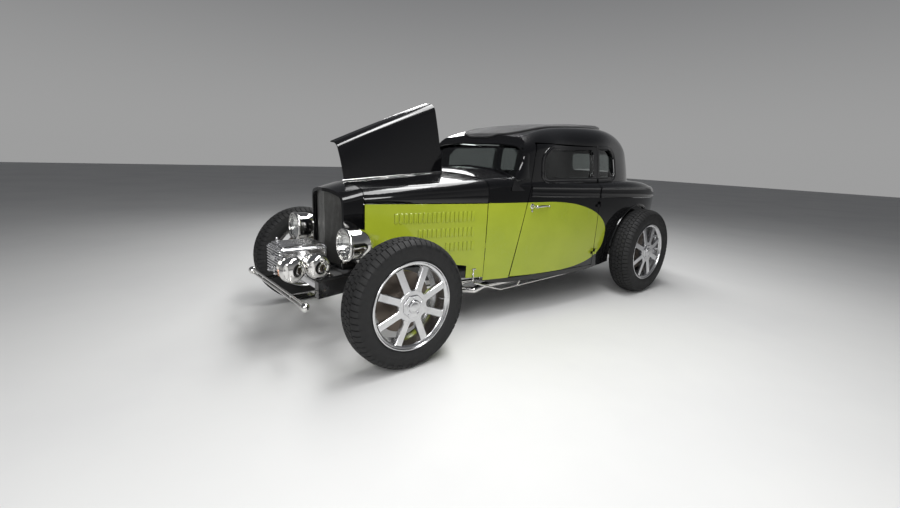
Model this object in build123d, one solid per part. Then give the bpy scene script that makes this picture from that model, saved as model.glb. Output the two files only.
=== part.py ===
from build123d import *
import os

os.makedirs("parts", exist_ok=True)

# Lengths are in mm. Y runs back from the front axle, X to the car's left, Z up from the ground.
# Each piece is moved at the end so that the origin lies under the middle of the whole car.

# Wheels and axles
wheelbase = 2845
front_tyre_r = 400
rear_tyre_r = 414
rim_r = 274
bead_r = 252
front_tyre_face_x = 888
rear_tyre_face_x = 856
front_tyre_w = 188
rear_tyre_w = 206
rim_proud = 8
kingpin_x = 660
kingpin_r = 12
spindle_r = 20
running_gap = 0.05
seat_gap = 0.3
steer_arm = 140
tie_rod_z = 250
tie_rod_r = 14

# Ends of the car
front_end_y = -532
tail_y = 3700
rear_end_y = 3726
front_axle_y = -(front_end_y + rear_end_y) / 2

# Sheet and wall thicknesses
wall = 42
hood_wall = 9
panel_gap = 6
glass_t = 6
glass_inset = 18

# Hood, from the radiator shell to the cowl
hood_front_y = 6
hood_rear_y = 884
hood_hinge_r = 5
hood_open_angle = 85
colour_break_z = 939

# Cab and windows
firewall_t = 25
floor_t = 20
trunk_floor_z = 720
trunk_front_y = 2350
screen_base_y = 1135
screen_slope = 0.55
door_front_low = (1125, 345)
door_front_belt = (1262, 1000)
door_front_top = (1352, 1393)
door_rear_y = 2135
door_lower_taper = 8
door_lower_taper_x = 620
door_upper_taper = 12
door_upper_taper_x = 600
door_hinge_x = 704
arch_r = 447
arch_liner_t = 22
deck_front_y = 3045
deck_rear_y = 3560
belt_split_z = 1070
cab_split_y = 3025

# Holes for the number plate and for a tow bar
plate_hole_spacing = 178
plate_hole_r = 3.5
tow_hole_spacing = 400
tow_hole_r = 7
rear_member_y = 3340

# Lower body sections: y, half width, half width at the bottom, bottom z, side top z,
# half width and z where the top begins, crown z
tub_sections = [
    (890, 550, 531, 336, 1041, 474, 1115, 1146),
    (1190, 612, 592, 302, 1065, 520, 1130, 1185),
    (1700, 672, 652, 298, 1050, 580, 1105, 1130),
    (2300, 695, 674, 330, 1040, 600, 1095, 1120),
    (2845, 682, 658, 400, 1030, 570, 1090, 1115),
    (3250, 606, 575, 440, 1000, 480, 1050, 1072),
    (3520, 490, 445, 480, 930, 370, 975, 992),
    (tail_y, 345, 300, 560, 780, 250, 812, 822),
]

# Cab sections: the same columns
cab_sections = [
    (1080, 575, 600, 1030, 1250, 420, 1380, 1405),
    (1300, 582, 618, 1030, 1330, 410, 1440, 1462),
    (1600, 590, 636, 1030, 1375, 410, 1520, 1540),
    (2000, 592, 648, 1030, 1395, 405, 1556, 1578),
    (2400, 580, 642, 1030, 1400, 390, 1568, 1590),
    (2700, 520, 600, 1030, 1380, 330, 1530, 1550),
    (2890, 450, 508, 1030, 1320, 250, 1430, 1445),
    (2965, 370, 430, 1030, 1250, 180, 1330, 1342),
    (3010, 290, 350, 1030, 1170, 120, 1200, 1208),
]

# Hood sections: the same columns, the bottom at the colour break
hood_lip_z = colour_break_z + panel_gap / 2
hood_sections = [
    (hood_front_y, 277, 277, hood_lip_z, 975, 222, 1040, 1070),
    (420, 410, 410, hood_lip_z, 1005, 345, 1072, 1100),
    (hood_rear_y, 548, 548, hood_lip_z, 1040, 472, 1112, 1137),
]


def ring(y, half, low_half, z_low, z_side, top_half, z_edge, z_crown, inset=0.0, sink=None):
    """Closed outline at one station: flat bottom, nearly upright sides, round shoulders, crowned top."""
    low = z_low + (inset if sink is None else sink)
    b = low_half - inset
    s = half - inset
    t = top_half - 0.6 * inset
    ze = z_edge - inset
    zc = z_crown - inset
    zs = min(z_side, ze - 12)
    mid_z = (low + zs) / 2
    mid_x = (b + s) / 2 + 6
    sh = (t + 0.72 * (s - t), zs + 0.66 * (ze - zs))
    edges = [
        Edge.make_line((-b, y, low), (b, y, low)),
        Edge.make_three_point_arc((b, y, low), (mid_x, y, mid_z), (s, y, zs)),
        Edge.make_three_point_arc((s, y, zs), (sh[0], y, sh[1]), (t, y, ze)),
        Edge.make_three_point_arc((t, y, ze), (0, y, zc), (-t, y, ze)),
        Edge.make_three_point_arc((-t, y, ze), (-sh[0], y, sh[1]), (-s, y, zs)),
        Edge.make_three_point_arc((-s, y, zs), (-mid_x, y, mid_z), (-b, y, low)),
    ]
    return Wire(edges)


def skin(sections, inset=0.0, sink=None, y_from=None, y_to=None):
    """Smooth solid through a table's sections, drawn in by inset."""
    solid = Solid.make_loft([ring(*row, inset=inset, sink=sink) for row in sections])
    first = sections[0][0] if y_from is None else y_from
    last = sections[-1][0] if y_to is None else y_to
    keep = block((-900, 900), (first, last), (0, 2000))
    return solid & keep


def block(xs, ys, zs):
    """Box between two corners given as three ranges."""
    size = [abs(r[1] - r[0]) for r in (xs, ys, zs)]
    centre = [(r[0] + r[1]) / 2 for r in (xs, ys, zs)]
    return Pos(*centre) * Box(*size)


def rod(a, b, r):
    """Round bar from a to b."""
    a = Vector(*a)
    b = Vector(*b)
    return Plane(origin=a, z_dir=b - a) * Cylinder(r, (b - a).length, align=(Align.CENTER, Align.CENTER, Align.MIN))


def side_prism(points, x_from, x_to, corner=0.0, taper=0.0):
    """Prism along X from an outline of (y, z) points, from x_from out to x_to."""
    outline = Polyline(*[(p[0], p[1]) for p in points], close=True)
    face = make_face(outline)
    if corner:
        face = fillet(face.vertices(), corner)
    plane = Plane(origin=(x_to, 0, 0), x_dir=(0, 1, 0), z_dir=(1, 0, 0))
    return extrude(plane * face, -abs(x_to - x_from) if x_to > x_from else abs(x_to - x_from), taper=taper)


def top_prism(points, z_from, z_to, corner=0.0):
    """Prism along Z from an outline of (x, y) points."""
    face = make_face(Polyline(*points, close=True))
    if corner:
        face = fillet(face.vertices(), corner)
    return extrude(Pos(0, 0, z_from) * face, z_to - z_from)


def front_prism(points, y_from, y_to, corner=0.0):
    """Prism along Y from an outline of (x, z) points."""
    face = make_face(Polyline(*points, close=True))
    if corner:
        face = fillet(face.vertices(), corner)
    plane = Plane(origin=(0, y_from, 0), x_dir=(1, 0, 0), z_dir=(0, -1, 0))
    return extrude(plane * face, -(y_to - y_from))


def mirrored(shape):
    """The same piece on the car's right side."""
    return shape.mirror(Plane.YZ)


def wheel_at(shape, x, y, z):
    """A wheel piece drawn about Z, outer side up, turned to face out at x."""
    turn = Rot(0, 90, 0) if x > 0 else Rot(0, -90, 0)
    return Pos(x, y, z) * (turn * shape)


# Wheels, drawn with the tyre's outer face at z = 0 and the inner face below it
spoke_count = 8
spoke_w = 44
spoke_t = 26
hub_r = 62
hub_cap_r = 40
wheel_hub_depth = 150
brake_disc_r = 190


def tyre(r, w):
    """Closed tyre with its outer face at z = 0."""
    half = w / 2
    shoulder = r - 0.16 * w
    mid = (rim_r + shoulder) / 2
    bead = bead_r + seat_gap
    lip = half - rim_proud - 12
    right = [
        Line((bead, lip), (rim_r, lip)),
        ThreePointArc((rim_r, lip), (mid, half), (shoulder, half - 0.03 * w)),
        ThreePointArc((shoulder, half - 0.03 * w), (r - 0.06 * w, half - 0.09 * w), (r - 0.02 * w, half - 0.2 * w)),
    ]
    left = [edge.mirror(Plane.XZ) for edge in right]
    tread = ThreePointArc((r - 0.02 * w, half - 0.2 * w), (r, 0), (r - 0.02 * w, 0.2 * w - half))
    inner = Line((bead, lip), (bead, -lip))
    face = make_face([*right, tread, *left, inner])
    return Pos(0, 0, -half) * revolve(Plane.XZ * face, Axis.Z, 360)


def wheel(w):
    """Eight-spoke wheel: rim with a flange each side, flat spokes, round hub with a stepped cap."""
    out = -rim_proud
    inn = -(w - rim_proud)
    flange_t = 12 - seat_gap
    shape = Pos(0, 0, (out + inn) / 2) * (Cylinder(bead_r, out - inn) - Cylinder(bead_r - 12, out - inn + 2))
    for z in (out - flange_t / 2, inn + flange_t / 2):
        shape += Pos(0, 0, z) * (Cylinder(rim_r, flange_t) - Cylinder(bead_r - 12, flange_t + 2))
    face_z = out - 16
    for i in range(spoke_count):
        spoke = Pos((hub_r + bead_r) / 2 - 6, 0, face_z - spoke_t / 2) * Box(bead_r - hub_r + 10, spoke_w, spoke_t)
        shape += Rot(0, 0, 360 * (i + 0.5) / spoke_count) * spoke
    hub_low = out - wheel_hub_depth
    hub_high = face_z + 8
    shape += Pos(0, 0, (hub_low + hub_high) / 2) * Cylinder(hub_r, hub_high - hub_low)
    shape += Pos(0, 0, face_z - spoke_t / 2) * Cylinder(hub_r + 28, spoke_t)
    shape += Pos(0, 0, hub_high + 8) * Cylinder(hub_cap_r, 18)
    bore_depth = hub_high - 14 - hub_low
    shape -= Pos(0, 0, hub_low + bore_depth / 2) * Cylinder(spindle_r + running_gap, bore_depth)
    return shape


def brake_disc():
    """Disc on the inner side of the hub."""
    low = -rim_proud - wheel_hub_depth
    return Pos(0, 0, low + 20) * (Cylinder(brake_disc_r, 22) - Cylinder(hub_r + seat_gap, 24))


wheel_places = [
    ("fl", 1, 0, front_tyre_r, front_tyre_w, front_tyre_face_x),
    ("fr", -1, 0, front_tyre_r, front_tyre_w, front_tyre_face_x),
    ("rl", 1, wheelbase, rear_tyre_r, rear_tyre_w, rear_tyre_face_x),
    ("rr", -1, wheelbase, rear_tyre_r, rear_tyre_w, rear_tyre_face_x),
]

parts = {}
for name, side, y, r, w, face_x in wheel_places:
    parts["tyre_" + name] = wheel_at(tyre(r, w), side * face_x, y, r)
    parts["wheel_" + name] = wheel_at(wheel(w), side * face_x, y, r)
    parts["brake_disc_" + name] = wheel_at(brake_disc(), side * face_x, y, r)

# Front axle: dropped beam with an eye at each end
axle_beam_h = 54
axle_beam_t = 46
axle_low_z = 300
eye_r = 27
eye_h = 70
beam_path = [
    (-kingpin_x, front_tyre_r),
    (-kingpin_x + 110, front_tyre_r - 8),
    (-kingpin_x + 210, axle_low_z),
    (kingpin_x - 210, axle_low_z),
    (kingpin_x - 110, front_tyre_r - 8),
    (kingpin_x, front_tyre_r),
]
upper = [(x, z + axle_beam_h / 2) for x, z in beam_path]
lower = [(x, z - axle_beam_h / 2) for x, z in reversed(beam_path)]
beam = front_prism(upper + lower, -axle_beam_t / 2, axle_beam_t / 2)
for side in (1, -1):
    beam += Pos(side * kingpin_x, 0, front_tyre_r) * Cylinder(eye_r, eye_h)
    beam -= Pos(side * kingpin_x, 0, front_tyre_r) * Cylinder(kingpin_r + running_gap, eye_h + 2)
parts["front_axle"] = beam

# Knuckles: yoke with kingpin, spindle out to the hub and a steering arm back to the tie rod
ear_t = 16
ear_gap = 0.5
yoke_back = 34
hub_end_wall = 14
hub_face_drop = 16
hub_proud = 8
spindle_back = rim_proud + hub_face_drop - hub_proud + hub_end_wall + 1
arm_t = 14


def knuckle():
    """Left knuckle about its kingpin's centre."""
    top = eye_h / 2 + ear_gap
    drop = front_tyre_r - tie_rod_z
    shape = Cylinder(kingpin_r, 2 * (top + ear_t))
    for s in (1, -1):
        shape += Pos(0, 0, s * (top + ear_t / 2)) * Cylinder(eye_r, ear_t)
        shape += Pos(yoke_back / 2, 0, s * (top + ear_t / 2)) * Box(yoke_back + 8, 44, ear_t)
    shape += Pos(yoke_back + 6, 0, 0) * Box(12, 60, 2 * (top + ear_t))
    shape += rod((yoke_back + 2, 0, 0), (front_tyre_face_x - spindle_back - kingpin_x, 0, 0), spindle_r)
    arm_low = -drop - tie_rod_r - arm_t - 2
    shape += block((-15, 15), (-15, 15), (arm_low, -top - ear_t / 2))
    shape += block((-15, 15), (0, steer_arm), (arm_low, arm_low + arm_t))
    shape += Pos(0, steer_arm, arm_low + arm_t / 2) * Cylinder(18, arm_t)
    shape += Pos(0, steer_arm, -drop) * Cylinder(8, 2 * tie_rod_r + 10)
    return Pos(kingpin_x, 0, front_tyre_r) * shape


parts["knuckle_l"] = knuckle()
parts["knuckle_r"] = mirrored(parts["knuckle_l"])

# Tie rod between the two steering arms
tie = rod((-kingpin_x, steer_arm, tie_rod_z), (kingpin_x, steer_arm, tie_rod_z), tie_rod_r - 3)
for side in (1, -1):
    tie += Pos(side * kingpin_x, steer_arm, tie_rod_z) * Cylinder(18, 2 * tie_rod_r)
    tie -= Pos(side * kingpin_x, steer_arm, tie_rod_z) * Cylinder(8 + running_gap, 4 * tie_rod_r)
parts["tie_rod"] = tie

# Chassis frame: two rails with a kick-up over the rear axle and cross members
rail_w = 55
rail_h = 110
rail_nose_z = 439
rail_mid_z = 400
rail_line = [
    (-330, 395), (-110, 420), (-40, rail_nose_z), (20, rail_nose_z), (60, 450), (350, 420), (450, 420),
    (840, rail_mid_z), (2356, rail_mid_z), (2545, 560), (2845, 630), (3120, 600), (3390, 570),
]
rail_plan = [(-330, 262), (60, 290), (1050, 420), (3390, 436)]
rail_side = [(y, z + rail_h / 2) for y, z in rail_line] + [(y, z - rail_h / 2) for y, z in reversed(rail_line)]
plan = [(x + rail_w / 2, y) for y, x in rail_plan] + [(x - rail_w / 2, y) for y, x in reversed(rail_plan)]
rail = side_prism(rail_side, 150, 520) & top_prism(plan, 200, 800)
frame = rail + mirrored(rail)
cross_members = [(-20, 415, 120, 40, 280), (1150, 343, 90, 36, 420), (2220, 343, 70, 36, 430), (rear_member_y, 575, 60, 70, 436)]
for y, z, w, h, half in cross_members:
    frame += Pos(0, y, z) * Box(2 * half, w, h)
for side in (1, -1):
    x = side * tow_hole_spacing / 2
    frame -= rod((x, rear_member_y, 500), (x, rear_member_y, 650), tow_hole_r)
parts["chassis_frame"] = frame

# Front suspension: leaf spring over the axle with its shackles, and radius rods
spring_half = 420
spring_t = 24
perch_z = axle_low_z + axle_beam_h / 2
spring_low_z = perch_z + 22
spring_top_z = 415 - 20 - seat_gap
leaf = make_face([
    ThreePointArc((-spring_half, 0, spring_low_z), (0, 0, spring_top_z), (spring_half, 0, spring_low_z)),
    Line((spring_half, 0, spring_low_z), (spring_half, 0, spring_low_z - spring_t * 0.6)),
    ThreePointArc(
        (spring_half, 0, spring_low_z - spring_t * 0.6), (0, 0, spring_top_z - spring_t),
        (-spring_half, 0, spring_low_z - spring_t * 0.6)),
    Line((-spring_half, 0, spring_low_z - spring_t * 0.6), (-spring_half, 0, spring_low_z)),
])
spring = extrude(leaf, 24, both=True)
for side in (1, -1):
    spring += block((side * (spring_half - 2), side * (spring_half + 14)), (-20, 20), (perch_z + seat_gap, spring_low_z + 6))
parts["front_spring"] = spring
rod_end_y = 980
rod_end_z = 312
rod_end_x = 411
rod_bracket_z = axle_low_z + 20
rods = None
for side in (1, -1):
    x = side * 440
    bracket_y = axle_beam_t / 2 + seat_gap
    hairpin = block((x - 8, x + 8), (bracket_y, bracket_y + 26), (rod_bracket_z - 50, rod_bracket_z + 50))
    pivot = (side * rod_end_x, rod_end_y, rod_end_z)
    for lift in (38, -38):
        hairpin += rod((x, bracket_y + 13, rod_bracket_z + lift), pivot, 13)
    hairpin += block((side * (rod_end_x - 13), side * (rod_end_x + 13)), (rod_end_y - 24, rod_end_y + 24), (rod_end_z - 14, 345 - seat_gap))
    rods = hairpin if rods is None else rods + hairpin
parts["radius_rods"] = rods

# Rear axle: tube, differential case and stub ends for the wheels
stub_end = rear_tyre_face_x - spindle_back
stub_shoulder = rear_tyre_face_x - rim_proud - wheel_hub_depth - 1
axle = rod((-stub_shoulder, wheelbase, rear_tyre_r), (stub_shoulder, wheelbase, rear_tyre_r), 38)
axle += rod((-stub_end, wheelbase, rear_tyre_r), (stub_end, wheelbase, rear_tyre_r), spindle_r)
axle += rod((0, wheelbase - 120, rear_tyre_r), (0, wheelbase + 70, rear_tyre_r), 120)
axle += Pos(0, wheelbase + 60, rear_tyre_r) * Sphere(110)
parts["rear_axle"] = axle

# Rear suspension: trailing arm under the axle and a coil-over each side
rear = None
for side in (1, -1):
    x = side * 425
    coil_y = wheelbase + 92
    coil_top = 618 - rail_h / 2 - seat_gap
    coil = rod((x, coil_y, 372), (x, coil_y, 540), 40) + rod((x, coil_y, 330), (x, coil_y, coil_top), 14)
    arm = block((x - 20, x + 20), (2255 + seat_gap, coil_y + 30), (315, 345 - seat_gap))
    arm += block((x - 20, x + 20), (wheelbase - 45, wheelbase + 45), (315, rear_tyre_r - 38 - seat_gap))
    piece = arm + coil
    rear = piece if rear is None else rear + piece
parts["rear_suspension"] = rear

# Engine, and gearbox with its drive shaft, as plain blocks
engine = fillet(block((-200, 200), (110, 760), (450, 900)).edges(), 30)
engine += block((-350, 350), (380, 420), (475 + seat_gap, 500))
parts["engine"] = engine
gearbox = block((-150, 150), (760 + seat_gap, 838), (380, 640)) + block((-110, 110), (830, 1200), (361 + seat_gap, 455))
gearbox += rod((0, 1190, 402), (0, wheelbase - 121, rear_tyre_r), 30)
parts["gearbox"] = gearbox

# Radiator shell with its grille and core
shell_half = 246
shell_front_y = -165
shell_side_y = -112
shell_low_z = rail_nose_z + rail_h / 2 + seat_gap
shell_rim = 22
shell_sections = [
    (shell_front_y - 5, 242, 226, shell_low_z, 930, 188, 1000, 1026),
    (0, 277, 262, shell_low_z, 972, 222, 1038, 1068),
]
shell_plan = [
    (0, shell_front_y), (shell_half + 60, shell_side_y - 12), (shell_half + 60, 0),
    (-shell_half - 60, 0), (-shell_half - 60, shell_side_y - 12),
]
shell_zone = top_prism(shell_plan, 300, 1200)
grille_zone = skin(shell_sections, inset=shell_rim)
parts["radiator_shell"] = (skin(shell_sections) & shell_zone) - grille_zone

bar_pitch = 13
bar_w = 5
bar_depth = 14
bar_count = 35
grille = None
slope = (shell_side_y - shell_front_y) / shell_half
for i in range(bar_count):
    x = (i - (bar_count - 1) / 2) * bar_pitch
    y = shell_front_y + 12 + abs(x) * slope
    w = 12 if x == 0 else bar_w
    bar = block((x - w / 2, x + w / 2), (y, y + bar_depth), (400, 1100))
    grille = bar if grille is None else grille + bar
for z in (620, 780, 920):
    for side in (1, -1):
        band = [
            (0, shell_front_y + 22), (side * shell_half, shell_side_y + 22),
            (side * shell_half, shell_side_y + 30), (0, shell_front_y + 30),
        ]
        grille += top_prism(band, z, z + 10)
parts["grille"] = grille & skin(shell_sections, inset=shell_rim + seat_gap)
parts["radiator"] = block((-205, 205), (-70, -8), (shell_low_z + shell_rim + seat_gap, 940))

# Hood: a closed shell cut into two halves on the centre line
hood_solid = skin(hood_sections) - skin(hood_sections, inset=hood_wall, sink=-60)
hinge_z = [(row[0], row[7] + hood_hinge_r + 0.4) for row in hood_sections]
hinge_lift = (hinge_z[-1][1] - hinge_z[0][1]) / (hinge_z[-1][0] - hinge_z[0][0])
hinge_start = (0, hood_front_y, hinge_z[0][1])
hinge_end = (0, hood_rear_y, hinge_z[-1][1])
hood_axis = Axis(hinge_start, Vector(*hinge_end) - Vector(*hinge_start))
hood_l = hood_solid & block((2, 900), (hood_front_y, hood_rear_y), (0, 2000))
hood_l -= rod(hinge_start, hinge_end, hood_hinge_r + seat_gap)
parts["hood_l"] = hood_l
parts["hood_r"] = mirrored(hood_l).rotate(hood_axis, hood_open_angle)
parts["hood_hinge"] = rod(
    (0, -12, hinge_z[0][1] - 18 * hinge_lift), (0, tub_sections[0][0] - 1, hinge_z[-1][1] + 5 * hinge_lift), hood_hinge_r)

# Fixed hood sides below the colour break
side_outline = [
    (hood_front_y + 4, colour_break_z - 3), (hood_rear_y, colour_break_z - 3), (hood_rear_y, 372),
    (743, 372), (743, 470), (420, 520), (hood_front_y + 4, 640),
]
side_sections = [
    (hood_front_y, 277, 262, 300, 1100, 200, 1120, 1130),
    (420, 410, 395, 300, 1100, 300, 1120, 1130),
    (hood_rear_y, 548, 532, 300, 1100, 410, 1120, 1130),
]
side_skin = skin(side_sections) - skin(side_sections, inset=hood_wall, sink=-60)
hood_side = side_skin & side_prism(side_outline, 150, 700)

# Louvres in three rows: half-round bars on the skin, shorter rows lower down
louvre_rows = [
    # count, first and last y, bottom z at the first and last, top z at the first and last
    (18, 211, 766, 800, 809, 869, 883),
    (13, 375, 772, 696, 697, 753, 765),
    (7, 578, 777, 592, 590, 652, 659),
]
louvre_r = 9
louvre_sunk = 3


def side_x(y, z):
    """Half width of the hood side's skin at a place."""
    share = (z - 300) / 800
    widths = [row[2] + (row[1] - row[2]) * share + 6 * (1 - ((z - 700) / 400) ** 2) for row in side_sections]
    y0, y1, y2 = [row[0] for row in side_sections]
    a = widths[0] * (y - y1) * (y - y2) / ((y0 - y1) * (y0 - y2))
    b = widths[1] * (y - y0) * (y - y2) / ((y1 - y0) * (y1 - y2))
    c = widths[2] * (y - y0) * (y - y1) / ((y2 - y0) * (y2 - y1))
    return a + b + c - louvre_sunk


louvres = []
for count, y_first, y_last, low_first, low_last, high_first, high_last in louvre_rows:
    for i in range(count):
        share = i / (count - 1)
        y = y_first + (y_last - y_first) * share
        low = low_first + (low_last - low_first) * share
        high = high_first + (high_last - high_first) * share
        louvres.append(rod((side_x(y, low), y, low), (side_x(y, high), y, high), louvre_r))
hood_side = hood_side + louvres
for z in (600, 860):
    hood_side += block((525, 543), (hood_rear_y - 6, tub_sections[0][0] - seat_gap), (z, z + 40))
parts["hood_sides"] = hood_side + mirrored(hood_side)

# Body: lower tub and cab, hollow, with the floor, doors, windows, lid and arches cut
floor_z = rail_mid_z + rail_h / 2 + seat_gap
screen_reach = 700
frame_front_y = screen_base_y - 30
ahead_outline = [
    (frame_front_y - 200 * screen_slope, 900), (frame_front_y + screen_reach * screen_slope, 1100 + screen_reach),
    (frame_front_y - 1000, 1100 + screen_reach), (frame_front_y - 1000, 900),
]
ahead_of_screen = side_prism(ahead_outline, -800, 800)
cab_rear_y = cab_sections[-1][0]
tub_outer = skin(tub_sections)
cab_outer = skin(cab_sections)
outer = tub_outer + (cab_outer - ahead_of_screen)
tub_inner = skin(tub_sections, inset=wall)
tub_core = skin(tub_sections, inset=wall, sink=-400)
cab_core = skin(cab_sections, inset=wall, sink=-60)
inside_ends = block((-900, 900), (tub_sections[0][0] + firewall_t, tail_y - wall), (0, 2000))
inner_tub = tub_inner & inside_ends
inner_cab = (cab_core & block((-900, 900), (0, cab_rear_y - wall), (0, 2000))) - Pos(0, wall, 0) * ahead_of_screen
above_floor = block((-900, 900), (0, trunk_front_y - floor_t), (floor_z + floor_t, 2000)) + block(
    (-900, 900), (trunk_front_y - floor_t, 4000), (trunk_floor_z + floor_t, 2000))
below_floor = block((-900, 900), (0, trunk_front_y), (0, floor_z)) + block(
    (-900, 900), (trunk_front_y, 4000), (0, trunk_floor_z))
skirt = tub_core & block((-900, 900), (0, tail_y - wall), (-500, 2000))
body = outer - ((inner_tub + inner_cab) & above_floor) - (skirt & below_floor)

# Wheel arches with liners, behind and above the rear tyres
liner_low_z = 480
liner_x = 600
axle_clear_x = 580
rear_clear_x = rear_tyre_face_x - rear_tyre_w - 16
liners = []
for side in (1, -1):
    liner = rod((side * liner_x, wheelbase, rear_tyre_r), (side * 720, wheelbase, rear_tyre_r), arch_r + arch_liner_t)
    liner = (liner & block((-900, 900), (2000, 3500), (liner_low_z, 1000))) & tub_outer
    arch = rod((side * rear_clear_x, wheelbase, rear_tyre_r), (side * 760, wheelbase, rear_tyre_r), arch_r)
    axle_space = rod((side * axle_clear_x, wheelbase, rear_tyre_r), (side * 760, wheelbase, rear_tyre_r), arch_r)
    liners.append(liner)
    body = body + liner - arch - (axle_space & block((-900, 900), (2000, 3500), (0, liner_low_z)))

# Door outlines and cuts; the doors are hinged at their rear edge
door_outline = [
    (door_front_low[0], door_front_low[1]), door_front_belt, door_front_top,
    (door_rear_y, door_front_top[1]), (door_rear_y, door_front_low[1]),
]
hole_outline = [
    (door_front_low[0] - panel_gap, door_front_low[1] - panel_gap),
    (door_front_belt[0] - panel_gap, door_front_belt[1]),
    (door_front_top[0] - panel_gap, door_front_top[1] + panel_gap),
    (door_rear_y + panel_gap, door_front_top[1] + panel_gap),
    (door_rear_y + panel_gap, door_front_low[1] - panel_gap),
]
door_window = [(1425, 1128), (1425, 1270), (1500, 1340), (2085, 1368), (2085, 1132)]
quarter_window = [(2172, 1135), (2172, 1372), (2345, 1374), (2425, 1322), (2425, 1140)]
door_gap_wall = 50
upper_zone = block((-900, 900), (0, 4000), (1060, 1900))
lower_zone = block((-900, 900), (0, 4000), (0, 1100))
door_lower = side_prism(door_outline, 480, door_lower_taper_x, taper=door_lower_taper)
door_lower += side_prism(door_outline, door_lower_taper_x, 760)
door_upper = side_prism(door_outline, 480, door_upper_taper_x, taper=door_upper_taper)
door_upper += side_prism(door_outline, door_upper_taper_x, 760)
hole_cutter = side_prism(hole_outline, 480, 760)
window_cutter = side_prism(door_window, 400, 760, corner=40)
door = (tub_outer - tub_core) & door_lower & lower_zone
door += ((cab_outer - cab_core) & door_upper & upper_zone) - tub_core
door -= window_cutter
tub_deep = skin(tub_sections, inset=door_gap_wall, sink=-400)
cab_deep = skin(cab_sections, inset=door_gap_wall, sink=-60)
hole = ((tub_outer - tub_deep) & lower_zone) + ((cab_outer - cab_deep) & upper_zone)
hole = hole & hole_cutter
quarter_cutter = side_prism(quarter_window, 300, 760, corner=34)
body = body - hole - mirrored(hole) - quarter_cutter - mirrored(quarter_cutter)

# Door hinges outside the skin: the upper half of each barrel on the body, the lower half on the door
hinge_y = door_rear_y + panel_gap / 2
barrel_r = 7
barrel_h = 22
for z in (470, 900):
    half = rod((door_hinge_x, hinge_y, z), (door_hinge_x, hinge_y, z + barrel_h), barrel_r)
    half += block((650, door_hinge_x), (hinge_y + panel_gap / 2, hinge_y + 27), (z, z + barrel_h))
    body += half + mirrored(half)
    low = z - seat_gap - barrel_h
    door += rod((door_hinge_x, hinge_y, low), (door_hinge_x, hinge_y, low + barrel_h), barrel_r)
    door += block((655, door_hinge_x), (hinge_y - 40, hinge_y), (low, low + barrel_h))
parts["door_l"] = door
parts["door_r"] = mirrored(door)

# Windscreen, rear window and deck lid openings
screen_half = [
    (0, 1200), (326, 1185), (439, 1163), (548, 1131), (585, 1108), (548, 1328), (465, 1360), (244, 1377),
]
screen_outline = screen_half + [(-x, z) for x, z in reversed(screen_half[1:])]
screen_cutter = front_prism(screen_outline, 1020, 1420, corner=14)
rear_outline = [(-260, 1165), (-235, 1345), (235, 1345), (260, 1165)]
rear_cutter = front_prism(rear_outline, 2700, 3100, corner=44)
deck_outline = [(-400, deck_front_y), (400, deck_front_y), (330, deck_rear_y), (-330, deck_rear_y)]
deck_hole_outline = [
    (-400 - panel_gap, deck_front_y - panel_gap), (400 + panel_gap, deck_front_y - panel_gap),
    (330 + panel_gap, deck_rear_y + panel_gap), (-330 - panel_gap, deck_rear_y + panel_gap),
]
body = body - screen_cutter - rear_cutter
tub_skin = tub_outer - tub_inner
deck_lid = (tub_skin & top_prism(deck_outline, 860, 1300, corner=40)) - cab_outer
body = body - top_prism(deck_hole_outline, 860, 1300, corner=46)

# Lid hinges on the outside: the inner part of each barrel on the body, the outer part on the lid
lid_axis_y = deck_front_y - panel_gap / 2
lid_axis_z = 1102
lid_barrel_r = 6
lid_barrel_w = 26
for side in (1, -1):
    a = side * 275
    b = side * (275 + lid_barrel_w)
    c = side * (275 + 2 * lid_barrel_w)
    body += rod((a, lid_axis_y, lid_axis_z), (b, lid_axis_y, lid_axis_z), lid_barrel_r)
    body += block((a, b), (lid_axis_y - 20, lid_axis_y - 4), (1080, lid_axis_z))
    deck_lid += rod((b + side * seat_gap, lid_axis_y, lid_axis_z), (c, lid_axis_y, lid_axis_z), lid_barrel_r)
    deck_lid += block((b + side, c), (lid_axis_y + 3, lid_axis_y + 20), (1080, lid_axis_z))
parts["deck_lid"] = deck_lid

# Body panels that meet face to face: cab, floor pan, cowl with the firewall, rear body with the sills
cab_zone = block((-900, 900), (0, cab_split_y), (belt_split_z, 2000)) - ahead_of_screen
plates = block((-900, 900), (0, trunk_front_y), (floor_z, floor_z + floor_t))
plates += block((-900, 900), (trunk_front_y - floor_t, trunk_front_y), (floor_z, trunk_floor_z + floor_t))
plates += block((-900, 900), (trunk_front_y, 4000), (trunk_floor_z, trunk_floor_z + floor_t))
floor_zone = plates & tub_core & inside_ends
for liner in liners:
    floor_zone -= liner
sill_top_z = door_front_low[1] - panel_gap
cowl_outline = [
    (600, 200), (hole_outline[0][0], 200), (hole_outline[0][0], sill_top_z + 10),
    (1600, sill_top_z + 10), (1600, 1300), (600, 1300),
]
cowl_zone = side_prism(cowl_outline, -900, 900)
cab_half = body & cab_zone & block((0, 900), (0, 4000), (0, 2000))
parts["cab"] = cab_half + mirrored(cab_half)
parts["floor_pan"] = (body - cab_zone) & floor_zone
tub = body - cab_zone - floor_zone
parts["cowl"] = tub & cowl_zone
parts["rear_body"] = tub - cowl_zone

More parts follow.
